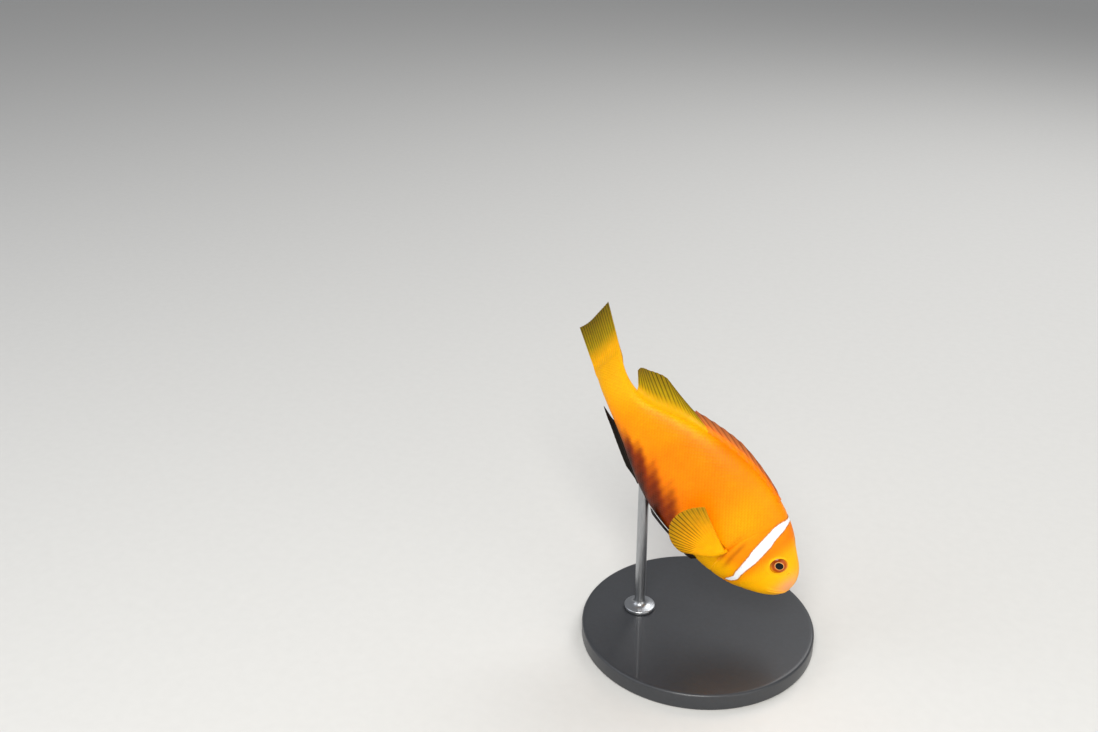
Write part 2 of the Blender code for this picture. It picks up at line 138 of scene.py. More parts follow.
def pose(points, behind=0.0):
    """Lay points on a spine that is straight, then a round arc to the left, and pitch them down."""
    s, y, z = points[..., 0], points[..., 1], points[..., 2]
    turn = math.radians(TURN_ANGLE)
    radius = (TURN_END - TURN_START) / turn
    heading = turn * np.clip((s - TURN_START) / (TURN_END - TURN_START), 0.0, 1.0)
    past = np.maximum(s - TURN_END, 0.0) + behind
    x = -(np.minimum(s, TURN_START) + radius * np.sin(heading) + past * np.cos(heading))
    side = radius * (1.0 - np.cos(heading)) + past * np.sin(heading)
    x = x + y * np.sin(heading) + BALANCE_STATION
    side = side + y * np.cos(heading)
    down = math.radians(PITCH)
    z = z - BALANCE_LEVEL
    ahead = x * math.cos(down) + z * math.sin(down)
    height = z * math.cos(down) - x * math.sin(down) + BALANCE_HEIGHT
    return np.stack([ahead, side, height], -1) * MM


# Its markings: orange flanks, golden head and chest, one white bar behind the eye, a yellow band
# under the soft dorsal fin and on the tail stalk, and a rusty to sooty belly and rear flank. Painted
# shade is laid in among them: slanting shadow streaks over the rusty and sooty belly, dark arcs along
# the gill covers' edges and a dark line under the pectoral fin's top edge. Each is a share from 0 to 1
# at a place on the body, so that skin and scales carry the same ones.
BAR_LEVEL = (-0.80, -0.70, -0.58, -0.45, -0.30, -0.10, 0.0, 0.2, 0.3, 0.45, 0.6, 0.7, 0.8, 0.92, 1.0)
BAR_FRONT = (13.9, 12.8, 12.3, 12.2, 12.7, 13.0, 13.1, 13.2, 13.4, 13.8, 14.1, 14.7, 15.0, 15.2, 15.5)
BAR_REAR = (13.6, 14.0, 13.7, 13.6, 14.3, 14.8, 15.1, 15.8, 16.4, 16.8, 17.2, 17.4, 17.6, 17.3, 16.4)
BAR_SOFTNESS, BAR_WANDER = 0.10, 0.05        # how soft the bar's edges are, and how far they wander
RIM_OFF, RIM_WIDTH = 0.15, 0.12              # thin dark rim just outside the bar
FACE_FADE = (9.0, 14.0)                      # pairs of stations: where a marking fades in or out
SHOULDER_STATION, SHOULDER_WIDTH = 24.0, 7.0
CHEST_START, CHEST_END = (12.0, 16.0), (24.0, 36.0)
BAND_START, BAND_WIDENS, STALK_YELLOW = (42.0, 52.0), (60.0, 68.0), (63.0, 74.0)
DUSK_START, DUSK_END = (24.0, 34.0), (58.0, 68.0)
DUSK_CLIMBS, DUSK_SINKS = (26.0, 42.0), (54.0, 66.0)
# pitch, slant and start of the slanting painted shadow streaks over the rusty and sooty belly
STREAK_PITCH, STREAK_SLANT, STREAK_START = 8.0, 14.0, 43.6
SNOUT_STATION, SNOUT_WIDTH = 1.6, 2.2
GILL_ARCS = ((0.6, 18.6, 2.6, 0.7), (0.5, 20.6, 2.2, 0.6))    # strength, station, slant and width of each dark arc, painted shade along a gill cover's edge
# station, height, slope and width of the painted shadow under the pectoral fin's top edge
AXIL_STATION, AXIL_HEIGHT, AXIL_SLOPE, AXIL_WIDTH = 21.7, -4.9, 0.148, 0.24
EYE_STATION, EYE_HEIGHT, EYE_SUNK = 8.4, 1.9, 0.95
EYE_RING, EYE_RING_WIDTH = 2.55, 0.4
MARK_NAMES = ("marks_head", "marks_body", "marks_gill")
CLOUD_SIZE = 5.56                            # cloudy patches of redder and yellower orange
MIX_COLOURS = {"data_type": "RGBA"}


def eye_axis(side):
    """Middle of the eyeball and the direction it looks out in, square to the head there."""
    near = 0.1
    point = np.array([EYE_STATION, side * flank(EYE_STATION, EYE_HEIGHT), EYE_HEIGHT])
    slope_s = flank(EYE_STATION + near, EYE_HEIGHT) - flank(EYE_STATION - near, EYE_HEIGHT)
    slope_z = flank(EYE_STATION, EYE_HEIGHT + near) - flank(EYE_STATION, EYE_HEIGHT - near)
    out = np.array([-slope_s, side * 2.0 * near, -slope_z])
    out = out / np.linalg.norm(out)
    return point - out * EYE_SUNK, out


def eye_distance(points):
    """Distance of straight-fish points from the nearer eye's axis."""
    side = np.where(points[..., 1] < 0.0, -1.0, 1.0)
    middle, out = eye_axis(1.0)
    away = points * np.stack([np.ones_like(side), side, np.ones_like(side)], -1) - middle
    return np.linalg.norm(away - (away @ out)[..., None] * out, axis=-1)


def markings(s, level, grain):
    """Shares of the markings at station s and level (-1 belly, 1 back): steps and hills across their
    edges, which grain roughens."""
    place = body_point(s, np.arcsin(np.clip(level, -1.0, 1.0)))
    front, rear = np.interp(level, BAR_LEVEL, BAR_FRONT), np.interp(level, BAR_LEVEL, BAR_REAR)
    off = np.maximum(front - s, s - rear) + BAR_WANDER * grain
    bar = 1.0 - rise(off, -BAR_SOFTNESS, BAR_SOFTNESS)
    rim = hill(off - RIM_OFF, RIM_WIDTH) * (rear > front)
    face = 1.0 - rise(s + level, *FACE_FADE)
    shoulder = 0.6 * hill(s - SHOULDER_STATION, SHOULDER_WIDTH) * (1.0 - 0.45 * rise(level, 0.3, 1.0))
    chest = rise(-level, -0.15, 0.5) * rise(s, *CHEST_START) * (1.0 - rise(s, *CHEST_END))
    golden = np.maximum.reduce([face, shoulder, chest, 0.2 * rise(s, 50.0, 60.0)])
    band_low = 0.80 - 0.25 * rise(s, *BAND_WIDENS)
    band = rise(level + 0.01 * grain, band_low, band_low + 0.2) * rise(s, *BAND_START)
    yellow = np.maximum(band, rise(s + 3.0 * level, *STALK_YELLOW))
    # painted shadow: slanting dark streaks over the real dusky belly, roughened by grain
    phase = 2.0 * math.pi * (s - STREAK_SLANT * level - STREAK_START) / STREAK_PITCH
    shadow_streaks = 0.08 * np.cos(phase) + 0.03 * np.sin(2.7 * s - 3.0 * level) + 0.02 * grain
    dusk_top = -0.95 + 0.80 * rise(s, *DUSK_CLIMBS) - 0.35 * rise(s, *DUSK_SINKS)
    ends = rise(s, *DUSK_START) * (1.0 - rise(s, *DUSK_END))
    rusty_with_shadow = rise(dusk_top - level + shadow_streaks, -0.28, 0.34) * ends
    sooty_with_shadow = rise(dusk_top - 0.22 - level + 1.5 * shadow_streaks, -0.35, 0.80) * ends
    snout = hill(s - SNOUT_STATION, SNOUT_WIDTH) * hill(level - 0.45, 0.55)
    # painted shade: dark arcs along the edges of the gill covers
    arc = sum(strength * hill(s - station - slant * level, width)
              for strength, station, slant, width in GILL_ARCS)
    arc = arc * rise(level, -0.6, -0.2) * (1.0 - rise(level, 0.15, 0.4))
    # painted shadow: a dark line under the pectoral fin's top edge, laid into the sooty share
    pectoral_fin_shadow = hill(place[..., 2] - AXIL_HEIGHT - AXIL_SLOPE * (s - AXIL_STATION), AXIL_WIDTH)
    sooty_with_shadow = np.maximum(sooty_with_shadow, 0.6 * pectoral_fin_shadow * rise(s, 21.2, 21.9) * (1.0 - rise(s, 24.0, 24.9)))
    ring = hill(eye_distance(place) - EYE_RING, EYE_RING_WIDTH)
    gill = np.stack([sooty_with_shadow, arc, ring], -1)
    return np.stack([bar, rim, golden], -1), np.stack([yellow, rusty_with_shadow, snout], -1), gill


def linear(hex_colour):
    """Linear colour of an sRGB hex value, with alpha."""
    parts = [int(hex_colour[i:i + 2], 16) / 255.0 for i in (1, 3, 5)]
    return (*[c / 12.92 if c <= 0.04045 else ((c + 0.055) / 1.055) ** 2.4 for c in parts], 1.0)


def pattern_scale(size):
    """Scale of a noise on coordinates in metres whose features are size millimetres across."""
    return 1.0 / (size * MM)


def add_node(tree, kind, settings=None, **links):
    """Node of one kind with its settings; a link is a socket, any other value is set on the input."""
    node = tree.nodes.new(kind)
    for key, value in (settings or {}).items():
        setattr(node, key, value)
    for key, value in links.items():
        numbered = key[0] == "i" and key[1:].isdigit()
        socket = node.inputs[int(key[1:]) if numbered else key.replace("_", " ")]
        if isinstance(value, bpy.types.NodeSocket):
            tree.links.new(value, socket)
        else:
            socket.default_value = value
    return node


def read_marks(tree, key):
    """The three values stored at the points under one name."""
    stored = add_node(tree, "ShaderNodeAttribute", {"attribute_name": key})
    return add_node(tree, "ShaderNodeSeparateXYZ", Vector=stored.outputs["Vector"]).outputs


def mottle(tree, place, size, detail, under, over):
    """Colour that wanders between two colours in patches size millimetres across, and its share."""
    noise = add_node(tree, "ShaderNodeTexNoise", Vector=place, Scale=pattern_scale(size), Detail=detail)
    share = noise.outputs["Fac"]
    return add_node(tree, "ShaderNodeMix", MIX_COLOURS, i0=share, i6=under, i7=over).outputs[2], share


def body_colour(tree):
    """Colour of the body from its stored markings: orange, then each marking laid over the last."""
    bar, rim, golden = read_marks(tree, "marks_head")
    yellow, rusty_with_shadow, snout = read_marks(tree, "marks_body")
    sooty_with_shadow, arc, ring = read_marks(tree, "marks_gill")
    place = add_node(tree, "ShaderNodeTexCoord").outputs["Object"]
    colour, _ = mottle(tree, place, CLOUD_SIZE, 3.0, linear("#F67400"), linear("#FF8E00"))
    # arc is painted shade along the gill covers' edges; the rusty and sooty shares carry painted shadow
    # streaks, and the sooty one also the painted shadow under the pectoral fin
    for share, over in (
        (golden, "#FFB200"), (arc, "#B85000"), (yellow, "#F4A900"), (ring, "#FFB410"), (snout, "#F8A86C"),
        (rusty_with_shadow, "#983400"), (sooty_with_shadow, "#220C02"), (rim, "#A86420"), (bar, "#F7F7F9"),
    ):
        colour = add_node(tree, "ShaderNodeMix", MIX_COLOURS, i0=share, i6=colour, i7=linear(over)).outputs[2]
    return colour, place


# Its relief: each fold or crease is a hill or a step across a line drawn on the side of the head.
SCALE_DEPTH = 0.2            # how far the skin lies under the solids where it has scales
LIP_DEPTH = 0.04             # and at the bare lips
LIP_END, SCALE_START = 5.0, 9.0
MOUTH_FRONT, MOUTH_CORNER = (-0.3, -3.7), (4.9, -6.2)
MOUTH_GROOVE, LIP_HEIGHT, LIP_OFF = 0.28, 0.13, 0.5
LIP_FADE = (4.6, 6.2)        # distances along the mouth line over which the lips fade out
NOSTRIL, NOSTRIL_RIM = (4.7, 1.6), 0.42
EYE_OPENING, SOCKET_WALL, SOCKET_DEPTH = 2.1, 0.75, 2.4
LID_RADIUS, LID_HOLLOW = 2.4, 3.0
CHEEK_MIDDLE, CHEEK_RADIUS, CHEEK_STRETCH = (8.6, -3.0), 6.1, 0.62
GILL_EDGE, GILL_EDGE_RISE = 20.6, 3.6
GILL_EDGE_BULGE, GILL_EDGE_DROP = 0.14, 0.5
HEAD_END, HEAD_ROWS, HEAD_CROWDING = 22.0, 133, 1.35    # crowding sets the rows closer at the snout
TRUNK_ROWS, SKIN_COLUMNS = 140, 330
SKIN_GRAIN, SKIN_GRAIN_DEPTH = 0.455, 0.08


def gill_edge(angle):
    """Station of the gill cover's rear edge, furthest back on the side."""
    return GILL_EDGE - GILL_EDGE_RISE * np.sin(angle) ** 2


def skin_relief(points, angle):
    """Height of the skin's folds and creases over the plain body, each a hill or step across a line."""
    s, y, z = points[..., 0], np.abs(points[..., 1]), points[..., 2]
    # mouth: a groove between two lips, a fold over the upper lip and a swelling at the corner
    front, corner = np.array(MOUTH_FRONT), np.array(MOUTH_CORNER)
    along = (corner - front) / np.linalg.norm(corner - front)
    run = (s - front[0]) * along[0] + (z - front[1]) * along[1]
    off = -(s - front[0]) * along[1] + (z - front[1]) * along[0]
    lip = 1.0 - rise(run, *LIP_FADE)
    height = -MOUTH_GROOVE * hill(off, 0.12) * lip + LIP_HEIGHT * hill(np.abs(off) - LIP_OFF, 0.36) * lip
    height = height - 0.03 * hill(off - 1.3, 0.25) * lip * rise(run, 0.8, 2.0)
    height = height + 0.10 * hill(np.hypot(run - 5.6, off - 0.3), 0.8)
    # nostril: a pit with a raised rim
    pit = np.hypot(s - NOSTRIL[0], z - NOSTRIL[1])
    height = height + (0.14 * hill(pit - NOSTRIL_RIM, 0.16) - 0.45 * hill(pit, 0.24)) * (y > 1.0)
    # eye: a raised lid, a shallow hollow round it, and the socket
    eye = eye_distance(points)
    height = height + 0.12 * hill(eye - LID_RADIUS, 0.3) - 0.06 * hill(eye - LID_HOLLOW, 0.3)
    height = height - SOCKET_DEPTH * (1.0 - rise(eye, EYE_OPENING - SOCKET_WALL, EYE_OPENING))
    # cheek: a fine wavy crease below and behind it
    cheek = np.hypot(s - CHEEK_MIDDLE[0], (z - CHEEK_MIDDLE[1]) * CHEEK_STRETCH)
    bearing = np.arctan2((z - CHEEK_MIDDLE[1]) * CHEEK_STRETCH, s - CHEEK_MIDDLE[0])
    there = rise(bearing, -2.0, -1.5) * (1.0 - rise(bearing, 0.35, 0.8))
    crease = cheek - CHEEK_RADIUS - 0.03 * np.sin(bearing * 52.0)
    height = height + there * (0.05 * hill(crease + 0.6, 0.45) - 0.07 * hill(crease, 0.4))
    # gill cover: swells toward its rear edge, then drops to the shoulder
    behind = s - gill_edge(angle)
    cover = rise(-np.abs(np.sin(angle) + 0.12), -0.78, -0.5)
    swell = GILL_EDGE_BULGE * hill(behind + 0.7, 0.7)
    drop = GILL_EDGE_DROP * rise(behind, -0.05, 0.1) * hill(behind, 1.3)
    height = height + cover * (swell - drop)
    # throat: fine folds
    fold = np.sin(z * 5.5 + s * 2.0) * 0.05
    throat = rise(-np.sin(angle), 0.8, 0.95) * rise(s, 6.0, 9.0) * (1.0 - rise(s, 16.0, 18.0))
    return height + fold * throat


def skin_depth(s):
    """How far the skin lies under the solids: hardly at the bare lips, the scales' depth behind."""
    return LIP_DEPTH + (SCALE_DEPTH - LIP_DEPTH) * rise(s, LIP_END, SCALE_START)


def grid_faces(rows, columns, wrap=False):
    """Four-sided faces of a grid of points, its last column joined to the first when it wraps."""
    i = np.arange(rows - 1)[:, None] * columns
    j = np.arange(columns if wrap else columns - 1)[None, :]
    k = (j + 1) % columns
    return np.stack([i + j, i + k, i + columns + k, i + columns + j], -1).reshape(-1, 4)


def closed_tube(points, start, end):
    """Points and faces of rings of points, closed onto one point at each end by a fan of triangles."""
    rows, columns = points.shape[:2]
    ring, last = np.arange(columns), rows * columns
    after = np.roll(ring, -1)
    caps = [
        np.stack([np.full(columns, last), after, ring], -1),
        np.stack([np.full(columns, last + 1), last - columns + ring, last - columns + after], -1),
    ]
    verts = np.concatenate([points.reshape(-1, 3), [start], [end]])
    return verts, [grid_faces(rows, columns, True), *caps]


def build(name, points, faces, marks=None, sharp=180.0):
    """Closed mesh of points in metres, wound so that its volume is positive, with values at its points.

    Faces that meet at more than the sharp angle, in degrees, are shaded with an edge between them.
    """
    points = np.asarray(points, float).reshape(-1, 3)
    volume = 0.0
    for group in faces:
        for corner in range(1, group.shape[1] - 1):
            a, b, c = (points[group[:, i]] for i in (0, corner, corner + 1))
            volume += np.einsum("ij,ij->", a, np.cross(b, c))
    if volume < 0.0:
        faces = [group[:, ::-1] for group in faces]
    corners = np.concatenate([group.ravel() for group in faces]).astype(np.int32)
    sizes = np.concatenate([np.full(len(group), group.shape[1]) for group in faces])
    mesh = bpy.data.meshes.new(name)
    mesh.vertices.add(len(points))
    mesh.vertices.foreach_set("co", points.astype(np.float32).ravel())
    mesh.loops.add(len(corners))
    mesh.loops.foreach_set("vertex_index", corners)
    mesh.polygons.add(len(sizes))
    mesh.polygons.foreach_set("loop_start", (np.cumsum(sizes) - sizes).astype(np.int32))
    mesh.polygons.foreach_set("use_smooth", np.ones(len(sizes), bool))
    for key, values in (marks or {}).items():
        layer = mesh.attributes.new(key, "FLOAT_VECTOR", "POINT")
        layer.data.foreach_set("vector", np.asarray(values, np.float32).ravel())
    mesh.update(calc_edges=True)
    mesh.set_sharp_from_angle(angle=math.radians(sharp))
    obj = bpy.data.objects.new(name, mesh)
    bpy.context.scene.collection.objects.link(obj)
    return obj, corners


def new_material(name, **values):
    """Material with one Principled shader, its plain values set on the sockets."""
    material = bpy.data.materials.new(name)
    material.use_nodes = True
    shader = material.node_tree.nodes["Principled BSDF"]
    for key, value in values.items():
        shader.inputs[key.replace("_", " ")].default_value = value
    return material, material.node_tree, shader


def make_skin():
    """Grid of stations and angles, closed at snout and stalk, each point moved out by the relief."""
    head = np.linspace(0.0, 1.0, HEAD_ROWS)[1:] ** HEAD_CROWDING * HEAD_END
    rows = np.concatenate([head, np.linspace(HEAD_END, BODY_LENGTH, TRUNK_ROWS)[1:]])
    angle = np.linspace(0.0, 2.0 * math.pi, SKIN_COLUMNS, endpoint=False)
    s = rows[:, None] + 0.0 * angle
    plain = body_point(s, angle + 0.0 * s)
    out = skin_relief(plain, angle) - skin_depth(s)
    across = np.roll(plain, -1, 1) - np.roll(plain, 1, 1)
    along = np.gradient(plain, axis=0)
    normal = np.cross(across, along)
    normal = normal / np.linalg.norm(normal, axis=-1, keepdims=True)
    normal = normal * np.sign((normal * (plain - plain.mean(1, keepdims=True))).sum(-1).mean())
    points = plain + normal * out[..., None]
    snout = np.array([points[0, :, 0].min() - 0.01, 0.0, MOUTH_HEIGHT])
    verts, faces = closed_tube(points, snout, points[-1].mean(0))
    rng = np.random.default_rng(4)
    grain = rng.uniform(-1.0, 1.0, s.shape)
    marks = {
        key: np.concatenate([mark.reshape(-1, 3), mark[0, :1], mark[-1, :1]])
        for key, mark in zip(MARK_NAMES, markings(s, np.sin(angle) + 0.0 * s, grain))
    }
    return build("skin", pose(verts), faces, marks)[0]


skin = make_skin()
# Living fish skin under its slime: satin, with weak broad highlights, and light goes a little way
# into it. Its grain is drawn coarser than the real one, so that it shows.
material, tree, shader = new_material(
    "living_fish_skin", Roughness=0.5, Specular_IOR_Level=0.12,
    Subsurface_Weight=0.12, Subsurface_Scale=0.0012,
)
colour, place = body_colour(tree)
tree.links.new(colour, shader.inputs["Base Color"])
grain = add_node(tree, "ShaderNodeTexNoise", Vector=place, Scale=pattern_scale(SKIN_GRAIN), Detail=2.0)
bump = add_node(tree, "ShaderNodeBump", Strength=0.25, Distance=SKIN_GRAIN_DEPTH * MM,
                Height=grain.outputs["Fac"])
tree.links.new(bump.outputs["Normal"], shader.inputs["Normal"])
skin.data.materials.append(material)
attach(skin, "root")
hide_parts("head", "lower_jaw", "gill_cover_right", "gill_cover_left", "trunk", "tail_stalk")

# Scales: overlapping thin plates of bone under clear skin, their rounded rear edges free. About
# fifty rows along each flank and thirty across; those of cheeks, gill covers and brow are smaller.
BODY_SCALE, HEAD_SCALE, TAIL_SCALE = 1.22, 0.64, 0.9      # steps from one scale to the next
TRUNK_START, ROW_STEP = 16.0, 0.5 * BODY_SCALE
FRONT_END, STALK_END = TRUNK_START + ROW_STEP * 50, TRUNK_START + ROW_STEP * 98
SCALES_END = BODY_LENGTH + SCALED_FIN_BASE - 0.9
HEAD_SCALES_START, HEAD_SCALES_END = 7.0, 21.0
PAST_MIDLINE = 0.3           # how far roots may lie past the midlines of back and belly, in steps
STRAY_BACK, STRAY_UP = 0.04, 0.03    # how far they stray from their places, in steps
ALONG = np.array((0.0, 0.36, 0.6, 0.8, 0.93, 1.0))[:, None]    # a scale's grid, from root to free edge
ACROSS = np.linspace(-1.0, 1.0, 7)[None, :]
SCALE_POINTS = ALONG.size * ACROSS.size
MIDDLE_ROW, MIDDLE_COLUMN = 3, 3
SCALE_LENGTH, SCALE_ROOT, SCALE_HALF = 1.6, 0.45, 0.61    # in steps between scales
SCALE_WIDEST = 0.6           # share of its length up to which a scale keeps its full width
SCALE_ROUND = 0.98           # just under 1, so that the free edge keeps a little width at its tip
SCALE_THICKNESS = 0.045
SCALE_RISE = 0.13            # how far a scale's free edge stands over its root
SCALE_BOW = 0.025            # how far its two sides lie lower than its middle
ROOT_SUNK = 0.03             # how far its root lies in the skin
SMALLEST_PLATE = 0.4         # thickness and rise of a scale of no width, as a share of a body scale's
EDGE_SINK = 0.08             # how far scales settle into the skin where the scaled area ends
EDGE_STEPS = 1.6             # over how many steps
OWN_COLOUR = 0.85            # how far a scale's colour follows the marking within its own area
BEFORE_GILL_EDGE = (-30.0, -0.1)    # distances from the gill cover's edge between which head scales
BEHIND_GILL_EDGE = (0.15, 90.0)     # and trunk scales follow the skin's relief
EYE_BARE = 3.3               # radius round the eye without scales
FACE_BARE, CHIN_BARE, BROW_BARE = 7.4, 2.4, 1.5    # bare face's end, and further at chin and brow
BAKE_PATCH = 0.003           # width of one scale's place on the map that its colours are baked to
MAP_MARGIN = 0.02            # free edge at that map's two ends
MAP_TURN = 1.1 * math.pi     # angle round the body that the map's height stands for
GIRTH_TABLE_ROWS, GIRTH_TABLE_COLUMNS = 161, 91


def girth_tables():
    """For back and belly quarter: length from the widest level, and angle at each share of it."""
    s = np.linspace(0.5, BODY_LENGTH + SCALED_FIN_BASE, GIRTH_TABLE_ROWS)[:, None]
    share = np.linspace(0.0, 1.0, GIRTH_TABLE_COLUMNS)
    tables = []
    for end in (0.5 * math.pi, -0.5 * math.pi):
        angle = share * end
        ring = body_point(s, angle + 0.0 * s)
        step = np.linalg.norm(np.diff(ring, axis=1), axis=-1)
        length = np.concatenate([np.zeros((len(s), 1)), np.cumsum(step, 1)], 1)
        at_share = [np.interp(share * row[-1], row, angle) for row in length]
        tables.append((length[:, -1], np.array(at_share)))
    return s[:, 0], tables


TABLE_S, GIRTH_TABLES = girth_tables()


def girth(s, upper):
    """Length of the quarter section at s, from widest level to back or belly."""
    back, belly = (np.interp(s, TABLE_S, table[0]) for table in GIRTH_TABLES)
    return np.where(upper, back, belly)


def angle_at(s, t):
    """Angle on the left side whose length up the section from the widest level is t, by table."""
    full = girth(s, t > 0.0)
    share = np.abs(t) / full
    over = share > 1.0
    share = np.clip(np.where(over, 2.0 - share, share), 0.0, 1.0)
    row = np.clip((s - TABLE_S[0]) / (TABLE_S[1] - TABLE_S[0]), 0.0, GIRTH_TABLE_ROWS - 1.001)
    column = np.clip(share * (GIRTH_TABLE_COLUMNS - 1), 0.0, GIRTH_TABLE_COLUMNS - 1.001)
    i, j = row.astype(int), column.astype(int)
    fi, fj = row - i, column - j
    found = []
    for _, table in GIRTH_TABLES:
        low = table[i, j] * (1.0 - fj) + table[i, j + 1] * fj
        high = table[i + 1, j] * (1.0 - fj) + table[i + 1, j + 1] * fj
        found.append(low * (1.0 - fi) + high * fi)
    angle = np.where(t > 0.0, found[0], found[1])
    return np.where(over, np.sign(t) * math.pi - angle, angle)


def scale_lattice(start, end, pitch, seed):
    """Roots of staggered rows of scales between two stations, every second row half a step over."""
    rng = np.random.default_rng(seed)
    s, t = [], []
    for row, station in enumerate(np.arange(start, end, pitch * 0.5)):
        top, bottom = girth(station, True), girth(station, False)
        steps = np.arange(-np.ceil(bottom / pitch), np.ceil(top / pitch) + 1)
        steps = steps * pitch + (row % 2) * 0.5 * pitch
        past = PAST_MIDLINE * pitch
        steps = steps[(steps < top + past) & (steps > -bottom - past)]
        s.append(np.full(len(steps), station))
        t.append(steps)
    s, t = np.concatenate(s), np.concatenate(t)
    s = s + rng.uniform(-STRAY_BACK, STRAY_BACK, len(s)) * pitch
    t = t + rng.uniform(-STRAY_UP, STRAY_UP, len(s)) * pitch
    return s, t, rng


def local_grid(pitch):
    """Distances back and up from a scale's root, over its grid: straight sides, then half an ellipse."""
    past = np.clip((ALONG - SCALE_WIDEST) / (1.0 - SCALE_WIDEST), 0.0, 1.0)
    outline = SCALE_HALF * np.sqrt(1.0 - (SCALE_ROUND * past) ** 2)
    return (ALONG * SCALE_LENGTH - SCALE_ROOT) * pitch, ACROSS * outline * pitch


def plate_points(s0, t0, inside, pitch, held_between):
    """Lens-thin plates laid on the left side by length: a grid above and one point below it each.

    They follow the skin's relief between two distances from the gill cover's edge, and hold the
    relief of that distance beyond it, so that none bends over the edge's step. Where inside, the
    distance to the end of the scaled area, runs out, they settle into the skin.
    """
    local_s, local_t = local_grid(pitch)
    s, t = np.broadcast_arrays(s0[:, None, None] + local_s, t0[:, None, None] + local_t)
    angle = angle_at(s, t)
    gill = gill_edge(angle)
    held = np.clip(s, gill + held_between[0], gill + held_between[1])
    small = SMALLEST_PLATE + (1.0 - SMALLEST_PLATE) * pitch / BODY_SCALE
    settle = EDGE_SINK * small * (1.0 - rise(inside, 0.0, EDGE_STEPS * pitch))
    bow = SCALE_BOW * ACROSS ** 2 * (1.0 - 0.5 * ALONG)
    lift = -SCALE_DEPTH - ROOT_SUNK + SCALE_RISE * small * ALONG - bow
    lift = lift + skin_relief(body_point(held, angle), angle) - settle[:, None, None]
    off_border = (ALONG > 0.0) * (ALONG < 1.0) * (np.abs(ACROSS) < 1.0)
    crown = SCALE_THICKNESS * small * off_border * ALONG
    high = body_point(s, angle, lift + crown).reshape(len(s0), SCALE_POINTS, 3)
    s, angle, lift = (a[:, MIDDLE_ROW, MIDDLE_COLUMN] for a in (s, angle, lift))
    return np.concatenate([high, body_point(s, angle, lift)[:, None]], 1)


def plate_marks(s0, t0, tint, pitch):
    """Markings over each plate, read on a somewhat smaller copy of it, and place and tone on it."""
    local_s, local_t = local_grid(pitch)
    mark_s = s0[:, None, None] + 0.5 * pitch + OWN_COLOUR * (local_s - 0.5 * pitch)
    mark_s, mark_t = np.broadcast_arrays(mark_s, t0[:, None, None] + OWN_COLOUR * local_t)
    shares = markings(mark_s, np.sin(angle_at(mark_s, mark_t)), tint[:, None, None])
    tone = tint[:, None, None] + 0.0 * local_t
    shares = (*shares, np.stack(np.broadcast_arrays(ALONG, np.abs(ACROSS), tone), -1))
    marks = {}
    for key, share in zip((*MARK_NAMES, "blade"), shares):
        below = share[:, MIDDLE_ROW, MIDDLE_COLUMN]
        share = np.concatenate([share.reshape(len(s0), SCALE_POINTS, 3), below[:, None]], 1)
        marks[key] = share.reshape(-1, 3)
    return marks


def plate_map(s0, t0, pitch):
    """Place of each plate's points on the map that its colours are baked to: a small patch for each."""
    patch = np.stack(np.broadcast_arrays(ALONG - 0.5, 0.5 * ACROSS), -1) * BAKE_PATCH
    patch = np.concatenate([patch.reshape(-1, 2), patch[MIDDLE_ROW, MIDDLE_COLUMN][None]])
    along = s0 / (BODY_LENGTH + SCALED_FIN_BASE)
    up = angle_at(s0 + 0.5 * pitch, t0) / MAP_TURN
    root = np.stack([MAP_MARGIN + (1.0 - 2.0 * MAP_MARGIN) * along, 0.5 + up], -1)
    return (root[:, None] + patch[None]).reshape(-1, 2)


def grid_border(rows, columns):
    """Numbers of the points that run round the border of a grid."""
    index = np.arange(rows * columns).reshape(rows, columns)
    return np.concatenate([index[0, :-1], index[:-1, -1], index[-1, :0:-1], index[:0:-1, 0]])


def make_scales(name, side, start, end, pitch, seed, room, held_between):
    """Joined plates on one side, on the lattice's roots that lie inside the scaled area's room."""
    s0, t0, rng = scale_lattice(start, end, pitch, seed)
    inside = room(s0, t0)
    s0, t0, inside = (a[inside > 0.0] for a in (s0, t0, inside))
    tint = rng.uniform(-1.0, 1.0, len(s0))
    points = plate_points(s0, t0, inside, pitch, held_between) * np.array([1.0, side, 1.0])
    border = grid_border(ALONG.size, ACROSS.size)
    fan = np.stack([border, np.full(len(border), SCALE_POINTS), np.roll(border, -1)], -1)
    first = np.arange(len(s0))[:, None, None] * (SCALE_POINTS + 1)
    faces = [(first + plate[None]).reshape(-1, plate.shape[1])
             for plate in (grid_faces(ALONG.size, ACROSS.size), fan)]
    marks = plate_marks(s0, t0, tint, pitch)
    obj, corners = build(name, pose(points.reshape(-1, 3)), faces, marks, 60.0)
    layer = obj.data.uv_layers.new(name="OFBake")
    layer.data.foreach_set("uv", plate_map(s0, t0, pitch)[corners].astype(np.float32).ravel())
    return obj


def on_trunk(s, t):
    """Trunk scales begin just under the gill cover's rear edge and end out on the tail fin's root."""
    return np.where(s > gill_edge(angle_at(s, t)) - 0.1, SCALES_END - s, -1.0)


def on_head(s, t):
    """Head scales leave the eye's surround, the snout, lips and chin bare."""
    angle = angle_at(s, t)
    point = body_point(s, angle)
    chin, brow = rise(-np.sin(angle), 0.1, 0.8), rise(np.sin(angle), 0.9, 1.0)
    bare = FACE_BARE + CHIN_BARE * chin + BROW_BARE * brow
    clear = np.minimum(eye_distance(point) - EYE_BARE, s - bare)
    return np.where(s < gill_edge(angle) - HEAD_SCALE * 1.25, clear, -1.0)


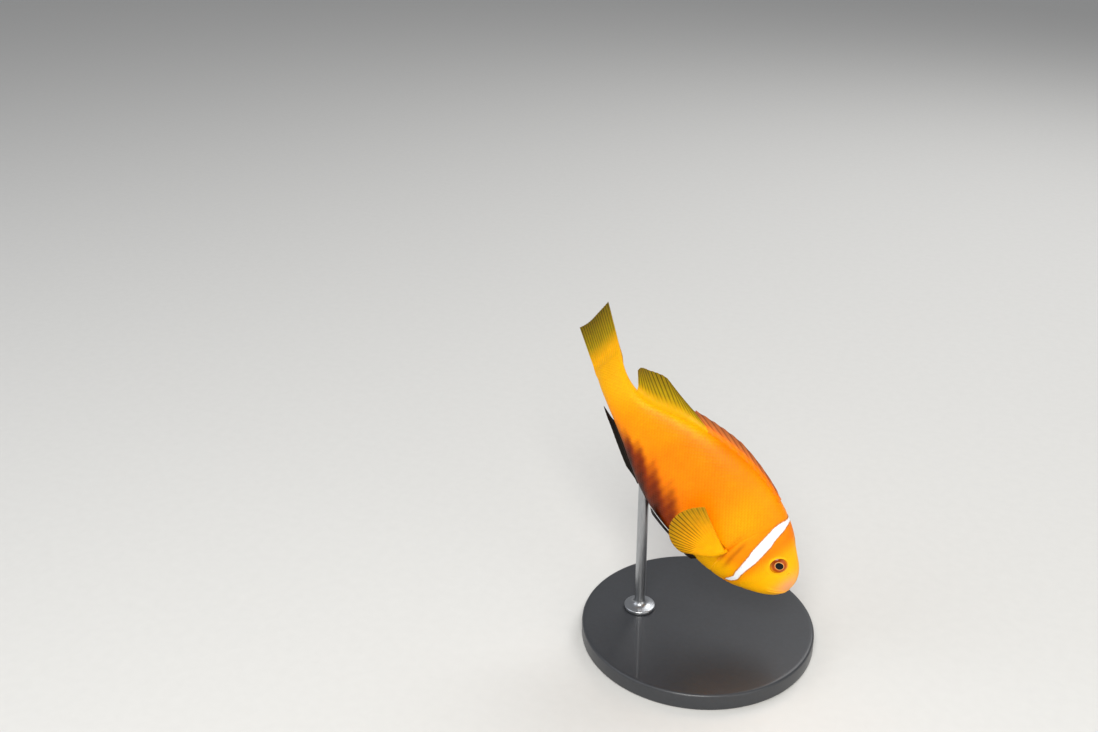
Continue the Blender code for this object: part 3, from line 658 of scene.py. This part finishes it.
# Clear-skinned bone plate: a little glossier than bare skin, with painted shade darkening its free
# edge where it lies over the next scale, and each scale of a slightly different tone, so that single
# ones can be told apart.
SOFT_STEP = {"interpolation_type": "SMOOTHSTEP"}
material, tree, shader = new_material(
    "clear_skinned_scale", Roughness=0.42, Specular_IOR_Level=0.12,
    Subsurface_Weight=0.10, Subsurface_Scale=0.001,
)
colour, place = body_colour(tree)
blade = read_marks(tree, "blade")
# painted shade along each scale's free edge
edge = add_node(tree, "ShaderNodeMapRange", SOFT_STEP, Value=blade[0],
                From_Min=0.72, From_Max=1.0, To_Min=0.0, To_Max=0.18)
shaded = add_node(tree, "ShaderNodeMix", {"data_type": "RGBA", "blend_type": "MULTIPLY"},
                  i0=edge.outputs[0], i6=colour, i7=linear("#D88A50")).outputs[2]
toned = add_node(tree, "ShaderNodeMapRange", Value=blade[2],
                 From_Min=-1.0, From_Max=1.0, To_Min=0.97, To_Max=1.03)
final = add_node(tree, "ShaderNodeHueSaturation", Value=toned.outputs[0], Color=shaded)
tree.links.new(final.outputs["Color"], shader.inputs["Base Color"])
for word, side in (("right", -1.0), ("left", 1.0)):
    for part, start, end, pitch, seed, room, held_between in (
        ("trunk", TRUNK_START, FRONT_END, BODY_SCALE, 11, on_trunk, BEHIND_GILL_EDGE),
        ("rear", FRONT_END, STALK_END, BODY_SCALE, 13, on_trunk, BEHIND_GILL_EDGE),
        ("tail", STALK_END, SCALES_END, TAIL_SCALE, 14, on_trunk, BEHIND_GILL_EDGE),
        ("head", HEAD_SCALES_START, HEAD_SCALES_END, HEAD_SCALE, 12, on_head, BEFORE_GILL_EDGE),
    ):
        scales = make_scales(f"scales_{part}_{word}", side, start, end, pitch, seed, room, held_between)
        scales.data.materials.append(material)
        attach(scales, "root")

# Eyes: glossy wet cornea over an orange-brown iris, with a thin pale gold ring round the black
# pupil, which is drawn out toward the snout. Each sits in its socket and stands out a little.
EYE_RADIUS, EYE_DEPTH_RADIUS = 2.75, 1.5
EYE_RINGS, EYE_COLUMNS = 47, 72
LENS_HEIGHT, LENS_WIDTH = 0.08, 0.8
PUPIL_LONG, PUPIL_SHORT, PUPIL_TILT = 1.16, 0.93, 12.0
PUPIL_AHEAD, PUPIL_UP = -0.2, 0.25     # where the eye has turned to, from the socket's middle
PUPIL_EDGE, PALE_RING_EDGE = 1.08, 1.24    # ends of the soft edges, in sizes of the pupil
IRIS_THREADS = 0.556


def set_stops(ramp, places, colours):
    """A colour ramp's stops, at places from 0 to 1 and in hex colours."""
    elements = ramp.color_ramp.elements
    for i, (place, colour) in enumerate(zip(places, colours)):
        stop = elements[i] if i < 2 else elements.new(place)
        stop.position = place
        stop.color = linear(colour)


def make_eye(word, side):
    """Flattened ball turned about its axis, with a low hill for the lens over the pupil."""
    middle, out = eye_axis(side)
    ahead = np.array([-1.0, 0.0, 0.0])
    ahead = ahead - (ahead @ out) * out
    ahead = ahead / np.linalg.norm(ahead)
    up = np.cross(ahead, out)
    up = up * np.sign(up[2])
    turn = np.linspace(0.0, math.pi, EYE_RINGS + 2)[1:-1, None]
    around = np.linspace(0.0, 2.0 * math.pi, EYE_COLUMNS, endpoint=False)[None, :]
    radius = EYE_RADIUS * np.sin(turn)
    lens = LENS_HEIGHT * hill(radius, LENS_WIDTH) * (np.cos(turn) > 0.0)
    tall = EYE_DEPTH_RADIUS * np.cos(turn) + lens
    local = np.stack(np.broadcast_arrays(radius * np.cos(around), radius * np.sin(around), tall), -1)
    poles = np.array([[0.0, 0.0, EYE_DEPTH_RADIUS + LENS_HEIGHT], [0.0, 0.0, -EYE_DEPTH_RADIUS]])
    local, faces = closed_tube(local, *poles)
    points = middle + local[:, :1] * ahead + local[:, 1:2] * up + local[:, 2:] * out
    tilt = math.radians(PUPIL_TILT)
    x, y = local[:, 0] - PUPIL_AHEAD, local[:, 1] - PUPIL_UP
    long_way = x * math.cos(tilt) + y * math.sin(tilt)
    short_way = y * math.cos(tilt) - x * math.sin(tilt)
    pupil = np.hypot(long_way / PUPIL_LONG, short_way / PUPIL_SHORT)
    marks = {"iris": np.stack([pupil, np.hypot(x, y), 0.3 * local[:, 1] - local[:, 0]], -1)}
    obj = build("eye_" + word + "_ball", pose(points), faces, marks)[0]
    obj.data.materials.append(eye_material)
    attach(obj, "root")
    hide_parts("eye_" + word)


# Wet cornea: a clear coat gives small sharp lights. The iris under it is darker round its middle, and
# painted shade darkens it toward the rear and upper lid. It is threaded with fine brown flecks, drawn
# coarse enough to show.
eye_material, tree, shader = new_material(
    "wet_cornea_over_iris", Roughness=0.16, Coat_Weight=0.15, Coat_Roughness=0.03, Specular_IOR_Level=0.15,
)
pupil_share, from_pupil, under_lid = read_marks(tree, "iris")
from_pupil = add_node(tree, "ShaderNodeMath", {"operation": "DIVIDE"}, i0=from_pupil, i1=EYE_RADIUS)
ramp = add_node(tree, "ShaderNodeValToRGB", Fac=from_pupil.outputs[0])
set_stops(ramp, (0.42, 0.50, 0.61, 0.71, 0.79), ("#CC6C14", "#B84C02", "#A84000", "#C46000", "#E08A04"))
place = add_node(tree, "ShaderNodeTexCoord").outputs["Object"]
flecks, _ = mottle(tree, place, IRIS_THREADS, 3.0, ramp.outputs["Color"], linear("#A04E08"))
iris = add_node(tree, "ShaderNodeMix", MIX_COLOURS, i0=0.3, i6=ramp.outputs["Color"], i7=flecks).outputs[2]
pale_ring = add_node(tree, "ShaderNodeMapRange", SOFT_STEP, Value=pupil_share,
                     From_Min=PUPIL_EDGE, From_Max=PALE_RING_EDGE, To_Min=1.0, To_Max=0.0)
hole = add_node(tree, "ShaderNodeMapRange", SOFT_STEP, Value=pupil_share,
                From_Min=1.0, From_Max=PUPIL_EDGE, To_Min=1.0, To_Max=0.0)
# painted shade from the upper lid, toward the top and rear of the eye
lid_shade = add_node(tree, "ShaderNodeMapRange", SOFT_STEP, Value=under_lid,
                     From_Min=0.2, From_Max=2.2, To_Min=0.0, To_Max=0.8)
for share, over in ((lid_shade, "#702A04"), (pale_ring, "#F0B46A"), (hole, "#040303")):
    share = share.outputs[0]
    iris = add_node(tree, "ShaderNodeMix", MIX_COLOURS, i0=share, i6=iris, i7=linear(over)).outputs[2]
tree.links.new(iris, shader.inputs["Base Color"])
for word, side in (("right", -1.0), ("left", 1.0)):
    make_eye(word, side)

# Fins: fans of bony rays, jointed and branched toward their tips, with thin skin stretched between
# them. Spines are smooth and pointed. Each fin grows out of the body from a fleshy root.
CUT = 0.3                    # width of the solids' cut between body and fins
ROOT_INSIDE = 1.0            # how far each fin runs on into the body
RAY_HALF, RAY_TAPER, MEMBRANE_HALF = 0.19, 0.4, 0.1    # half thicknesses, and a ray's loss to its tip
ROOT_HALF, ROOT_SHARE, ROOT_FALL = 0.75, 0.3, 1.5      # the root, and how it thins out along the rays
RIM_SHARE = 0.3              # share of its thickness that a fin has left at its outer edge
RAY_STEPS = 8                # columns of points from one ray to the next
SPLIT, SPLIT_AGAIN = 0.16, 0.07    # how far a ray's branches part, in gaps between rays
JOINT_PITCH, JOINT_SWELL = 0.55, 0.14
FIN_MOTTLE = 1.67            # faint patches of lighter and darker skin


def along_base(u, start, slope, bend=0.0, until=1.0):
    """Value at place u along a fin's base: start + slope u + bend u squared, level past until."""
    u = np.minimum(u, until)
    return start + slope * u + bend * u ** 2


def ray_places(rays):
    """Place of each column along the base, and how far it lies from its ray, -0.5 to 0.5 of a gap."""
    columns = (rays - 1) * RAY_STEPS + 1
    place = np.linspace(0.0, rays - 1.0, columns)
    return place / (rays - 1), place - np.round(place)


def notched(off, notch):
    """Share of the ray's length that the fin has off a ray: a shallow round notch between two rays."""
    return 1.0 - notch * (1.0 - np.cos(2.0 * math.pi * off)) * 0.5


def rows_from_root(count, length):
    """Shares of the ray's length from inside the body out to the tip."""
    share = np.linspace(0.0, 1.0, count)[:, None]
    inside = np.array([[-1.0], [-0.5]]) * ROOT_INSIDE / np.maximum(length, 1.0)
    return np.concatenate([inside, share + 0.0 * length], 0)


def fin_material(name, root_to_tip, rays, lines, root_share):
    """Thin fin skin, satin and lit through: three colours out along the rays, with a colour and its
    strength for the rays, and for the dark lines between them."""
    material, tree, shader = new_material(
        name, Roughness=0.42, Specular_IOR_Level=0.12, Subsurface_Weight=0.15, Subsurface_Scale=0.0008,
    )
    ray, out, line = read_marks(tree, "web")
    ramp = add_node(tree, "ShaderNodeValToRGB", Fac=out)
    set_stops(ramp, (root_share, 0.4 + 0.5 * root_share, 0.95), root_to_tip)
    place = add_node(tree, "ShaderNodeTexCoord").outputs["Object"]
    noise = add_node(tree, "ShaderNodeTexNoise", Vector=place, Scale=pattern_scale(FIN_MOTTLE), Detail=3.0)
    colour = ramp.outputs["Color"]
    for share, (over, strength) in ((line, lines), (ray, rays)):
        share = add_node(tree, "ShaderNodeMath", {"operation": "MULTIPLY"}, i0=share, i1=strength).outputs[0]
        colour = add_node(tree, "ShaderNodeMix", MIX_COLOURS, i0=share, i6=colour, i7=linear(over)).outputs[2]
    cloud = add_node(tree, "ShaderNodeMapRange", Value=noise.outputs["Fac"], To_Min=0.85, To_Max=1.15)
    final = add_node(tree, "ShaderNodeHueSaturation", Value=cloud.outputs[0], Color=colour)
    tree.links.new(final.outputs["Color"], shader.inputs["Base Color"])
    return material


def fin_half(share, length, off, root_half):
    """Half thickness of a fin and how much of it is ray: rays are hills across the gap between two of
    them, which split in two and again toward the tip, jointed by small waves along them."""
    split = SPLIT * rise(share, 0.35, 0.7)
    again = SPLIT_AGAIN * rise(share, 0.65, 0.95)
    width = 0.13 - 0.05 * rise(share, 0.4, 0.9)
    ray = np.maximum.reduce([hill(off - a * split - b * again, width) for a in (-1, 1) for b in (-1, 1)])
    wave = np.sin(2.0 * math.pi * share * length / JOINT_PITCH)
    joint = 1.0 + JOINT_SWELL * wave * rise(share, 0.2, 0.35)
    half = MEMBRANE_HALF + (RAY_HALF * (1.0 - RAY_TAPER * share) - MEMBRANE_HALF) * ray * joint
    return half + (root_half - half) * (1.0 - rise(share, 0.0, ROOT_SHARE)) ** ROOT_FALL, ray


def make_fin(name, node, material, station, behind, y, z, share, length, off, ripple,
             root_half=ROOT_HALF, lined=1.0, line_from=0.12, line_width=0.13):
    """Sheet of points at station, y and z, laid behind the spine's end by behind, thickened both ways.

    The ripple bends it to one side toward the tips. Dark lines run midway between the rays from a
    share of their length on, as strong as lined says.
    """
    s, behind, y, z, share, length, off = np.broadcast_arrays(station, behind, y, z, share, length, off)
    sheet = pose(np.stack([s, y, z], -1), behind) / MM
    half, ray = fin_half(share, length, off, root_half)
    half[-1] = half[-1] * RIM_SHARE
    normal = np.cross(np.gradient(sheet, axis=0), np.gradient(sheet, axis=1))
    normal = normal / np.maximum(np.linalg.norm(normal, axis=-1, keepdims=True), 1e-9)
    sheet = sheet + normal * (ripple * rise(share, 0.25, 1.0))[..., None]
    front = sheet + normal * half[..., None]
    rear = sheet - normal * half[..., None]
    rows, columns = half.shape
    size = rows * columns
    faces = grid_faces(rows, columns)
    border = grid_border(rows, columns)
    after = np.roll(border, -1)
    # the wall runs from the front sheet to the rear sheet, against the front sheet's winding
    wall = np.stack([border, after, after + size, border + size], -1)
    line = hill(np.abs(off) - 0.5, line_width) * rise(share, line_from, line_from + 0.3) * lined
    web = np.stack([ray, np.clip(share, 0.0, 1.0), line], -1).reshape(-1, 3)
    points = np.concatenate([front.reshape(-1, 3), rear.reshape(-1, 3)]) * MM
    faces = [np.concatenate([faces[:, ::-1], faces + size, wall])]
    obj = build(name, points, faces, {"web": np.tile(web, (2, 1))})[0]
    obj.data.materials.append(material)
    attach(obj, "root")
    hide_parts(node)


def median_fin(name, node, material, edge, side, base, rays, fold, length, notch, rows, wave,
               last=None):
    """Fin on the midline of back or belly, its rays leaning back from the body's edge.

    With last, a ray given by its station, fold and length, the fin's skin runs on to that ray.
    """
    every = np.linspace(0.0, 1.0, rays)
    stations = base[0] + (base[1] - base[0]) * every
    folds, lengths = along_base(every, *fold), along_base(every, *length)
    if last:
        stations, folds, lengths = (np.append(a, b) for a, b in zip((stations, folds, lengths), last))
    u, off = ray_places(len(stations))
    ray_place = np.linspace(0.0, 1.0, len(stations))
    station, folded, full = (np.interp(u, ray_place, a) for a in (stations, folds, lengths))
    climb = natural_curve(station + 0.5, edge) - natural_curve(station - 0.5, edge)
    lean = np.arctan(climb * side) + np.radians(folded)
    full = full * notched(off, notch)
    share = rows_from_root(rows, full)
    sink = np.where(share < 0.0, share * full, 0.0)
    out = np.where(share < 0.0, 0.0, share * full)
    z = natural_curve(station, edge) + side * (CUT + out * np.sin(lean) + sink)
    make_fin(name, node, material, station, out * np.cos(lean), 0.0, z, share, full, off,
             wave * np.sin(u * 9.0))


# Fin skins, from root to tip: the folded spiny fin is salmon, the soft dorsal and the tail fin olive,
# the pectoral fins golden with dark lines, and the anal and pelvic fins nearly black.
salmon = fin_material("folded_spiny_fin_skin", ("#F67E00", "#C06E34", "#84482C"),
                      rays=("#CC7A3C", 0.4), lines=("#5A2A14", 0.65), root_share=0.12)
olive = fin_material("olive_fin_skin", ("#E2A200", "#A88A04", "#5C4A04"),
                     rays=("#C2A010", 0.4), lines=("#3A3202", 0.8), root_share=0.04)
olive_tail = fin_material("olive_tail_fin_skin", ("#EEA600", "#9E8404", "#4E4404"),
                          rays=("#BC9410", 0.3), lines=("#342E02", 0.7), root_share=0.24)
yellow = fin_material("golden_fin_skin", ("#FFB000", "#F8A602", "#8C6C04"),
                      rays=("#F4AC0C", 0.4), lines=("#2E2002", 0.9), root_share=0.12)
black = fin_material("black_fin_skin", ("#1A120C", "#0C0A09", "#060606"),
                     rays=("#2A1E16", 0.5), lines=("#030303", 0.6), root_share=0.04)

SPINES, SPINY_BASE, SPINY_FOLD, SPINY_NOTCH = 10, (21.5, 46.8), (10.0, 12.0), 0.05
SPINY_LENGTH = (3.2, 10.6667, 0.0, 0.45)
SOFT_RAYS, SOFT_BASE, SOFT_FOLD, SOFT_NOTCH = 17, (48.2, 68.6), (23.0, 65.0, 0.0, 0.4), 0.01
SOFT_LENGTH = (6.8, 20.0, -21.3)
ANAL_RAYS, ANAL_BASE, ANAL_FOLD, ANAL_NOTCH = 14, (49.0, 66.0), (12.0, 2.0), 0.02
ANAL_LENGTH = (6.0, 8.0, -8.5)
median_fin("spiny_dorsal_fin", "dorsal_fin_spiny", salmon, BACK, 1.0,
           SPINY_BASE, SPINES, SPINY_FOLD, SPINY_LENGTH, SPINY_NOTCH, rows=22, wave=0.08,
           last=(SOFT_BASE[0], SOFT_FOLD[0], SOFT_LENGTH[0]))
median_fin("soft_dorsal_fin", "dorsal_fin_soft", olive, BACK, 1.0,
           SOFT_BASE, SOFT_RAYS, SOFT_FOLD, SOFT_LENGTH, SOFT_NOTCH, rows=40, wave=0.15)
median_fin("anal_fin_skin", "anal_fin", black, BELLY, -1.0,
           ANAL_BASE, ANAL_RAYS, ANAL_FOLD, ANAL_LENGTH, ANAL_NOTCH, rows=34, wave=0.1)

TAIL_RAYS, TAIL_LENGTH, TAIL_HOLLOW, TAIL_NOTCH = 15, 19.0, 0.05, 0.006
TAIL_BASE_HALF, TAIL_END_HALF, TAIL_SPREAD_POWER, TAIL_ROWS = 5.0, 6.2, 0.8, 54
TAIL_ROOT_HALF, ROOT_ROUND = 1.0, 0.85    # a root thins to its ends as an ellipse nearly as wide does
TAIL_SINK, TAIL_SINK_NARROW = 2.2, 0.12   # how much further its root goes into the stalk, and narrower


def tail_fin():
    """Fan off the end of the stalk, nearly closed, its rear edge a little hollow."""
    u, off = ray_places(TAIL_RAYS)
    across = 2.0 * u - 1.0
    full = TAIL_LENGTH * (1.0 - TAIL_HOLLOW * (1.0 - across ** 2)) * notched(off, TAIL_NOTCH)
    share = rows_from_root(TAIL_ROWS, full)
    spread = np.clip(share, 0.0, 1.0) ** TAIL_SPREAD_POWER
    spread = TAIL_BASE_HALF + (TAIL_END_HALF - TAIL_BASE_HALF) * spread
    spread = spread * (1.0 - TAIL_SINK_NARROW * rise(-share * full, 0.0, ROOT_INSIDE))
    middle = 0.5 * (BACK[-1] + BELLY[-1])
    station = BODY_LENGTH + np.minimum(share * full, 0.0) * TAIL_SINK
    behind = CUT * (share >= 0.0) + np.maximum(share, 0.0) * full
    thick = TAIL_ROOT_HALF * np.sqrt(1.0 - (ROOT_ROUND * across) ** 2)
    make_fin("tail_fin_skin", "tail_fin", olive_tail, station, behind, 0.0,
             middle + across * spread, share, full, off, 0.18 * np.sin(u * 7.0), thick, 1.0, 0.3)


PECTORAL_RAYS, PECTORAL_TOP, PECTORAL_FOOT = 17, (21.5, -4.8), (22.6, -9.4)
PECTORAL_FAN, PECTORAL_OUT = (29.0, -37.0), 20.0
PECTORAL_LENGTH, PECTORAL_OUTLINE, PECTORAL_NOTCH = 17.0, (1.0, 0.42, -0.95), 0.008
PECTORAL_CUP = 0.25          # how far the tips bend back in toward the flank
PECTORAL_SINK, PECTORAL_SINK_BACK = 1.6, 0.5    # how steeply its root goes into the body, and back
PAIRED_ROWS = 44


def pectoral_fin(word, side):
    """Fan off a short upright root on the flank, held back and a little out, its tips bent in."""
    u, off = ray_places(PECTORAL_RAYS)
    root_s = PECTORAL_TOP[0] + (PECTORAL_FOOT[0] - PECTORAL_TOP[0]) * u
    root_z = PECTORAL_TOP[1] + (PECTORAL_FOOT[1] - PECTORAL_TOP[1]) * u
    root_y = flank(root_s, root_z) + CUT + ROOT_HALF
    fan = np.radians(PECTORAL_FAN[0] + (PECTORAL_FAN[1] - PECTORAL_FAN[0]) * u)
    out = math.radians(PECTORAL_OUT)
    full = PECTORAL_LENGTH * along_base(u, *PECTORAL_OUTLINE) * notched(off, PECTORAL_NOTCH)
    share = rows_from_root(PAIRED_ROWS, full)
    reach = np.maximum(share, 0.0) * full
    sink = np.minimum(share * full, 0.0) * PECTORAL_SINK
    s = root_s + reach * np.cos(fan) * math.cos(out) + PECTORAL_SINK_BACK * sink
    z = root_z + reach * np.sin(fan) * math.cos(out)
    y = root_y + reach * math.sin(out) * (1.0 - PECTORAL_CUP * np.clip(share, 0.0, 1.0)) + sink
    thick = ROOT_HALF * np.sqrt(1.0 - (ROOT_ROUND * (2.0 * u - 1.0)) ** 2)
    make_fin("pectoral_fin_skin_" + word, "pectoral_fin_" + word, yellow, s, 0.0, y * side, z,
             share, full, off, 0.12 * np.sin(u * 8.0), thick, rise(u, 0.15, 0.4), 0.28, 0.12)


PELVIC_RAYS, PELVIC_ROOT, PELVIC_ROOT_SPREAD = 6, 24.5, 1.2
PELVIC_LENGTH, PELVIC_TAPER, PELVIC_NOTCH = 18.0, 0.24, 0.025
PELVIC_ANGLE, PELVIC_SPLAY = (32.0, -15.0), 8.0    # degrees from the belly's midline
PELVIC_LIFT, PELVIC_TIP_LIFT, PELVIC_SINK = 0.55, 0.5, 1.2


def pelvic_fin(word, side):
    """Narrow fin of a spine and five rays folded back along the belly."""
    u, off = ray_places(PELVIC_RAYS)
    full = PELVIC_LENGTH * (1.0 - PELVIC_TAPER * u) * notched(off, PELVIC_NOTCH)
    share = rows_from_root(PAIRED_ROWS, full)
    reach = np.clip(share, 0.0, 1.0)
    s = PELVIC_ROOT + PELVIC_ROOT_SPREAD * u + share * full
    from_midline = np.radians(along_base(u, *PELVIC_ANGLE) + PELVIC_SPLAY * reach * (1.0 - u))
    lift = PELVIC_LIFT + PELVIC_TIP_LIFT * reach * (1.0 - 0.6 * u)
    clearance = lift + np.minimum(share * full, 0.0) * PELVIC_SINK
    grid = body_point(s, from_midline - 0.5 * math.pi, clearance)
    make_fin("pelvic_fin_skin_" + word, "pelvic_fin_" + word, black, grid[..., 0], 0.0,
             grid[..., 1] * side, grid[..., 2], share, full, off, 0.0)


tail_fin()
for word, side in (("right", -1.0), ("left", 1.0)):
    pectoral_fin(word, side)
    pelvic_fin(word, side)

# Stand: a turned steel disc with a satin charcoal coat, and a brushed steel rod standing on it with
# a flared foot. The rod's top goes up into the belly and holds the fish.
TURNED_COLUMNS = 144
DISC_RADIUS, DISC_THICKNESS, EDGE_ROUND = 33.0, 5.0, 0.8
ROD_RADIUS, ROD_CHAMFER, ROD_IN_BELLY = 1.5, 0.2, 1.2
FOOT_RADIUS, FOOT_HEIGHT, FOOT_EDGE = 4.5, 2.9, 0.45
ENAMEL_FLOW, ENAMEL_FLOW_DEPTH = 1.11, 0.05
BRUSH_LINE, BRUSH_SQUEEZE = 0.111, 0.04    # squeezing the noise's height draws it out into lines


def turned(name, node, profile, material):
    """Round body about the node's upright axis, its profile of radii and heights closed on the axis."""
    low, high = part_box(node)
    axis = 0.5 * (low + high) / MM
    around = np.linspace(0.0, 2.0 * math.pi, TURNED_COLUMNS, endpoint=False)[None, :]
    radius, height = (np.array(part)[:, None] for part in zip(*profile))
    x, y = axis[0] + radius * np.cos(around), axis[1] + radius * np.sin(around)
    rings = np.stack(np.broadcast_arrays(x, y, height), -1)
    ends = [np.array([axis[0], axis[1], height[i, 0]]) for i in (0, -1)]
    verts, faces = closed_tube(rings, *ends)
    obj = build(name, verts * MM, faces, None, 30.0)[0]
    obj.data.materials.append(material)
    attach(obj, "root")
    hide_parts(node)


def round_corner(radius, height, size, start, end):
    """Points round a corner's arc of one size about its middle, from one bearing to another."""
    return [(radius + size * math.cos(a), height + size * math.sin(a))
            for a in np.radians(np.linspace(start, end, 7))]


# Satin charcoal enamel, sprayed: soft wide highlights, moved a little by its slight flow.
enamel, tree, shader = new_material("satin_charcoal_enamel", Roughness=0.42, Coat_Weight=0.15)
place = add_node(tree, "ShaderNodeTexCoord").outputs["Object"]
colour, flow = mottle(tree, place, ENAMEL_FLOW, 3.0, linear("#2C2D30"), linear("#34363A"))
tree.links.new(colour, shader.inputs["Base Color"])
bump = add_node(tree, "ShaderNodeBump", Strength=0.12, Distance=ENAMEL_FLOW_DEPTH * MM, Height=flow)
tree.links.new(bump.outputs["Normal"], shader.inputs["Normal"])

# Brushed steel: bright, with highlights broken by fine upright brush lines. They are drawn a tenth of
# a millimetre wide, coarser than real ones, so that they show.
steel, tree, shader = new_material("brushed_steel", Metallic=1.0, Roughness=0.3)
place = add_node(tree, "ShaderNodeTexCoord").outputs["Object"]
stretched = add_node(tree, "ShaderNodeMapping", Vector=place, Scale=(1.0, 1.0, BRUSH_SQUEEZE)).outputs[0]
colour, brush = mottle(tree, stretched, BRUSH_LINE, 2.0, linear("#8E9094"), linear("#C4C6C8"))
tree.links.new(colour, shader.inputs["Base Color"])
rough = add_node(tree, "ShaderNodeMapRange", Value=brush, To_Min=0.24, To_Max=0.4)
tree.links.new(rough.outputs[0], shader.inputs["Roughness"])

inner = DISC_RADIUS - EDGE_ROUND
face_edge = inner - 0.6      # a ring close inside the rounded edge keeps the flat faces flat
disc = [(face_edge, 0.0), *round_corner(inner, EDGE_ROUND, EDGE_ROUND, -90.0, 0.0),
        *round_corner(inner, DISC_THICKNESS - EDGE_ROUND, EDGE_ROUND, 0.0, 90.0),
        (face_edge, DISC_THICKNESS)]
turned("stand_disc", "stand_base", disc, enamel)
foot_low, rod_high = (corner[2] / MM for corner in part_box("stand_rod"))
rod_high = rod_high + ROD_IN_BELLY
# the foot's upper side is a hollow flare from its rounded edge up to the rod
neck, neck_low = FOOT_RADIUS - FOOT_EDGE - ROD_RADIUS, foot_low + 2.0 * FOOT_EDGE
flare = np.linspace(0.0, 1.0, 9)[1:]
rod = [(FOOT_RADIUS - 0.4, foot_low), (FOOT_RADIUS, foot_low),
       *round_corner(FOOT_RADIUS - FOOT_EDGE, foot_low + FOOT_EDGE, FOOT_EDGE, 0.0, 80.0),
       *((ROD_RADIUS + neck * (1.0 - share) ** 2.2,
          neck_low + (FOOT_HEIGHT - 2.0 * FOOT_EDGE) * share ** 1.6) for share in flare),
       (ROD_RADIUS, foot_low + 8.0), (ROD_RADIUS, rod_high - ROD_CHAMFER),
       (ROD_RADIUS - ROD_CHAMFER, rod_high)]
turned("stand_turned_rod", "stand_rod", rod, steel)

# Room: a wide pale matte floor under soft studio lamps, and the camera above and in front of the
# fish's right side, where it looks a little down on the fish.
FLOOR_RADIUS, FLOOR_SIDES, FLOOR_FIBRE = 4.0, 96, 3.33    # radius in metres, fibre in millimetres
CAMERA_AZIMUTH, CAMERA_ELEVATION, CAMERA_FIELD = 21.2, 25.0, 48.0
CAMERA_DISTANCE = 335.4
AIM_POINT = (40.0, 0.0, -1.0)
AIM_RIGHT, AIM_UP = 0.1184, -0.0922    # where that point stands in the view, as shares of the distance
SENSOR_WIDTH = 36.0

bpy.ops.mesh.primitive_circle_add(vertices=FLOOR_SIDES, radius=FLOOR_RADIUS, fill_type="NGON",
                                  location=(0.0, 0.0, 0.0))
floor = bpy.context.object
floor.name = "floor"
# Matte paper: no highlights, and a fibre so pale that it hardly shows.
material, tree, shader = new_material("matte_paper_floor", Roughness=0.9)
place = add_node(tree, "ShaderNodeTexCoord").outputs["Object"]
colour, _ = mottle(tree, place, FLOOR_FIBRE, 2.0, linear("#D6D5D2"), linear("#DBDAD7"))
tree.links.new(colour, shader.inputs["Base Color"])
floor.data.materials.append(material)

world = bpy.data.worlds.new("studio")
world.use_nodes = True
world.node_tree.nodes["Background"].inputs["Color"].default_value = linear("#E8EAEE")
world.node_tree.nodes["Background"].inputs["Strength"].default_value = 0.38
bpy.context.scene.world = world


def toward(azimuth, elevation):
    """Direction from the fish to a place at an azimuth and elevation in degrees; azimuth 0 is its right."""
    a, e = math.radians(azimuth), math.radians(elevation)
    return np.array([math.sin(a) * math.cos(e), -math.cos(a) * math.cos(e), math.sin(e)])


def add_lamp(name, azimuth, elevation, distance, size, power, colour):
    """Round soft lamp aimed at the fish from an azimuth and elevation."""
    lamp = bpy.data.lights.new(name, "AREA")
    lamp.shape = "DISK"
    lamp.size = size
    lamp.energy = power
    lamp.color = linear(colour)[:3]
    obj = bpy.data.objects.new(name, lamp)
    back = toward(azimuth, elevation)
    obj.location = back * distance + np.array([0.0, 0.0, BALANCE_HEIGHT * MM])
    obj.rotation_mode = "QUATERNION"
    obj.rotation_quaternion = Vector(back).to_track_quat("Z", "Y")
    bpy.context.scene.collection.objects.link(obj)


add_lamp("key_lamp", 12.0, 42.0, 0.7, 0.35, 4.4, "#FFFDF8")
add_lamp("fill_lamp", -60.0, 30.0, 0.9, 0.7, 1.8, "#F4F8FF")
add_lamp("rim_lamp", 160.0, 45.0, 0.8, 0.5, 2.4, "#FFFFFF")
add_lamp("front_lamp", 62.0, 8.0, 0.8, 0.6, 1.5, "#FFFDF8")

camera_data = bpy.data.cameras.new("camera")
camera_data.sensor_width = SENSOR_WIDTH
camera_data.lens = 0.5 * SENSOR_WIDTH / math.tan(math.radians(0.5 * CAMERA_FIELD))
camera_data.clip_start = 0.01
camera = bpy.data.objects.new("camera", camera_data)
bpy.context.scene.collection.objects.link(camera)
back = toward(CAMERA_AZIMUTH, CAMERA_ELEVATION)
right = toward(CAMERA_AZIMUTH + 90.0, 0.0)
up = np.cross(back, right)
aim = pose(np.array(AIM_POINT))
camera.location = aim + (back - AIM_RIGHT * right - AIM_UP * up) * CAMERA_DISTANCE * MM
camera.rotation_mode = "QUATERNION"
camera.rotation_quaternion = Vector(back).to_track_quat("Z", "Y")
bpy.context.scene.camera = camera
bpy.context.scene.view_settings.view_transform = "Standard"
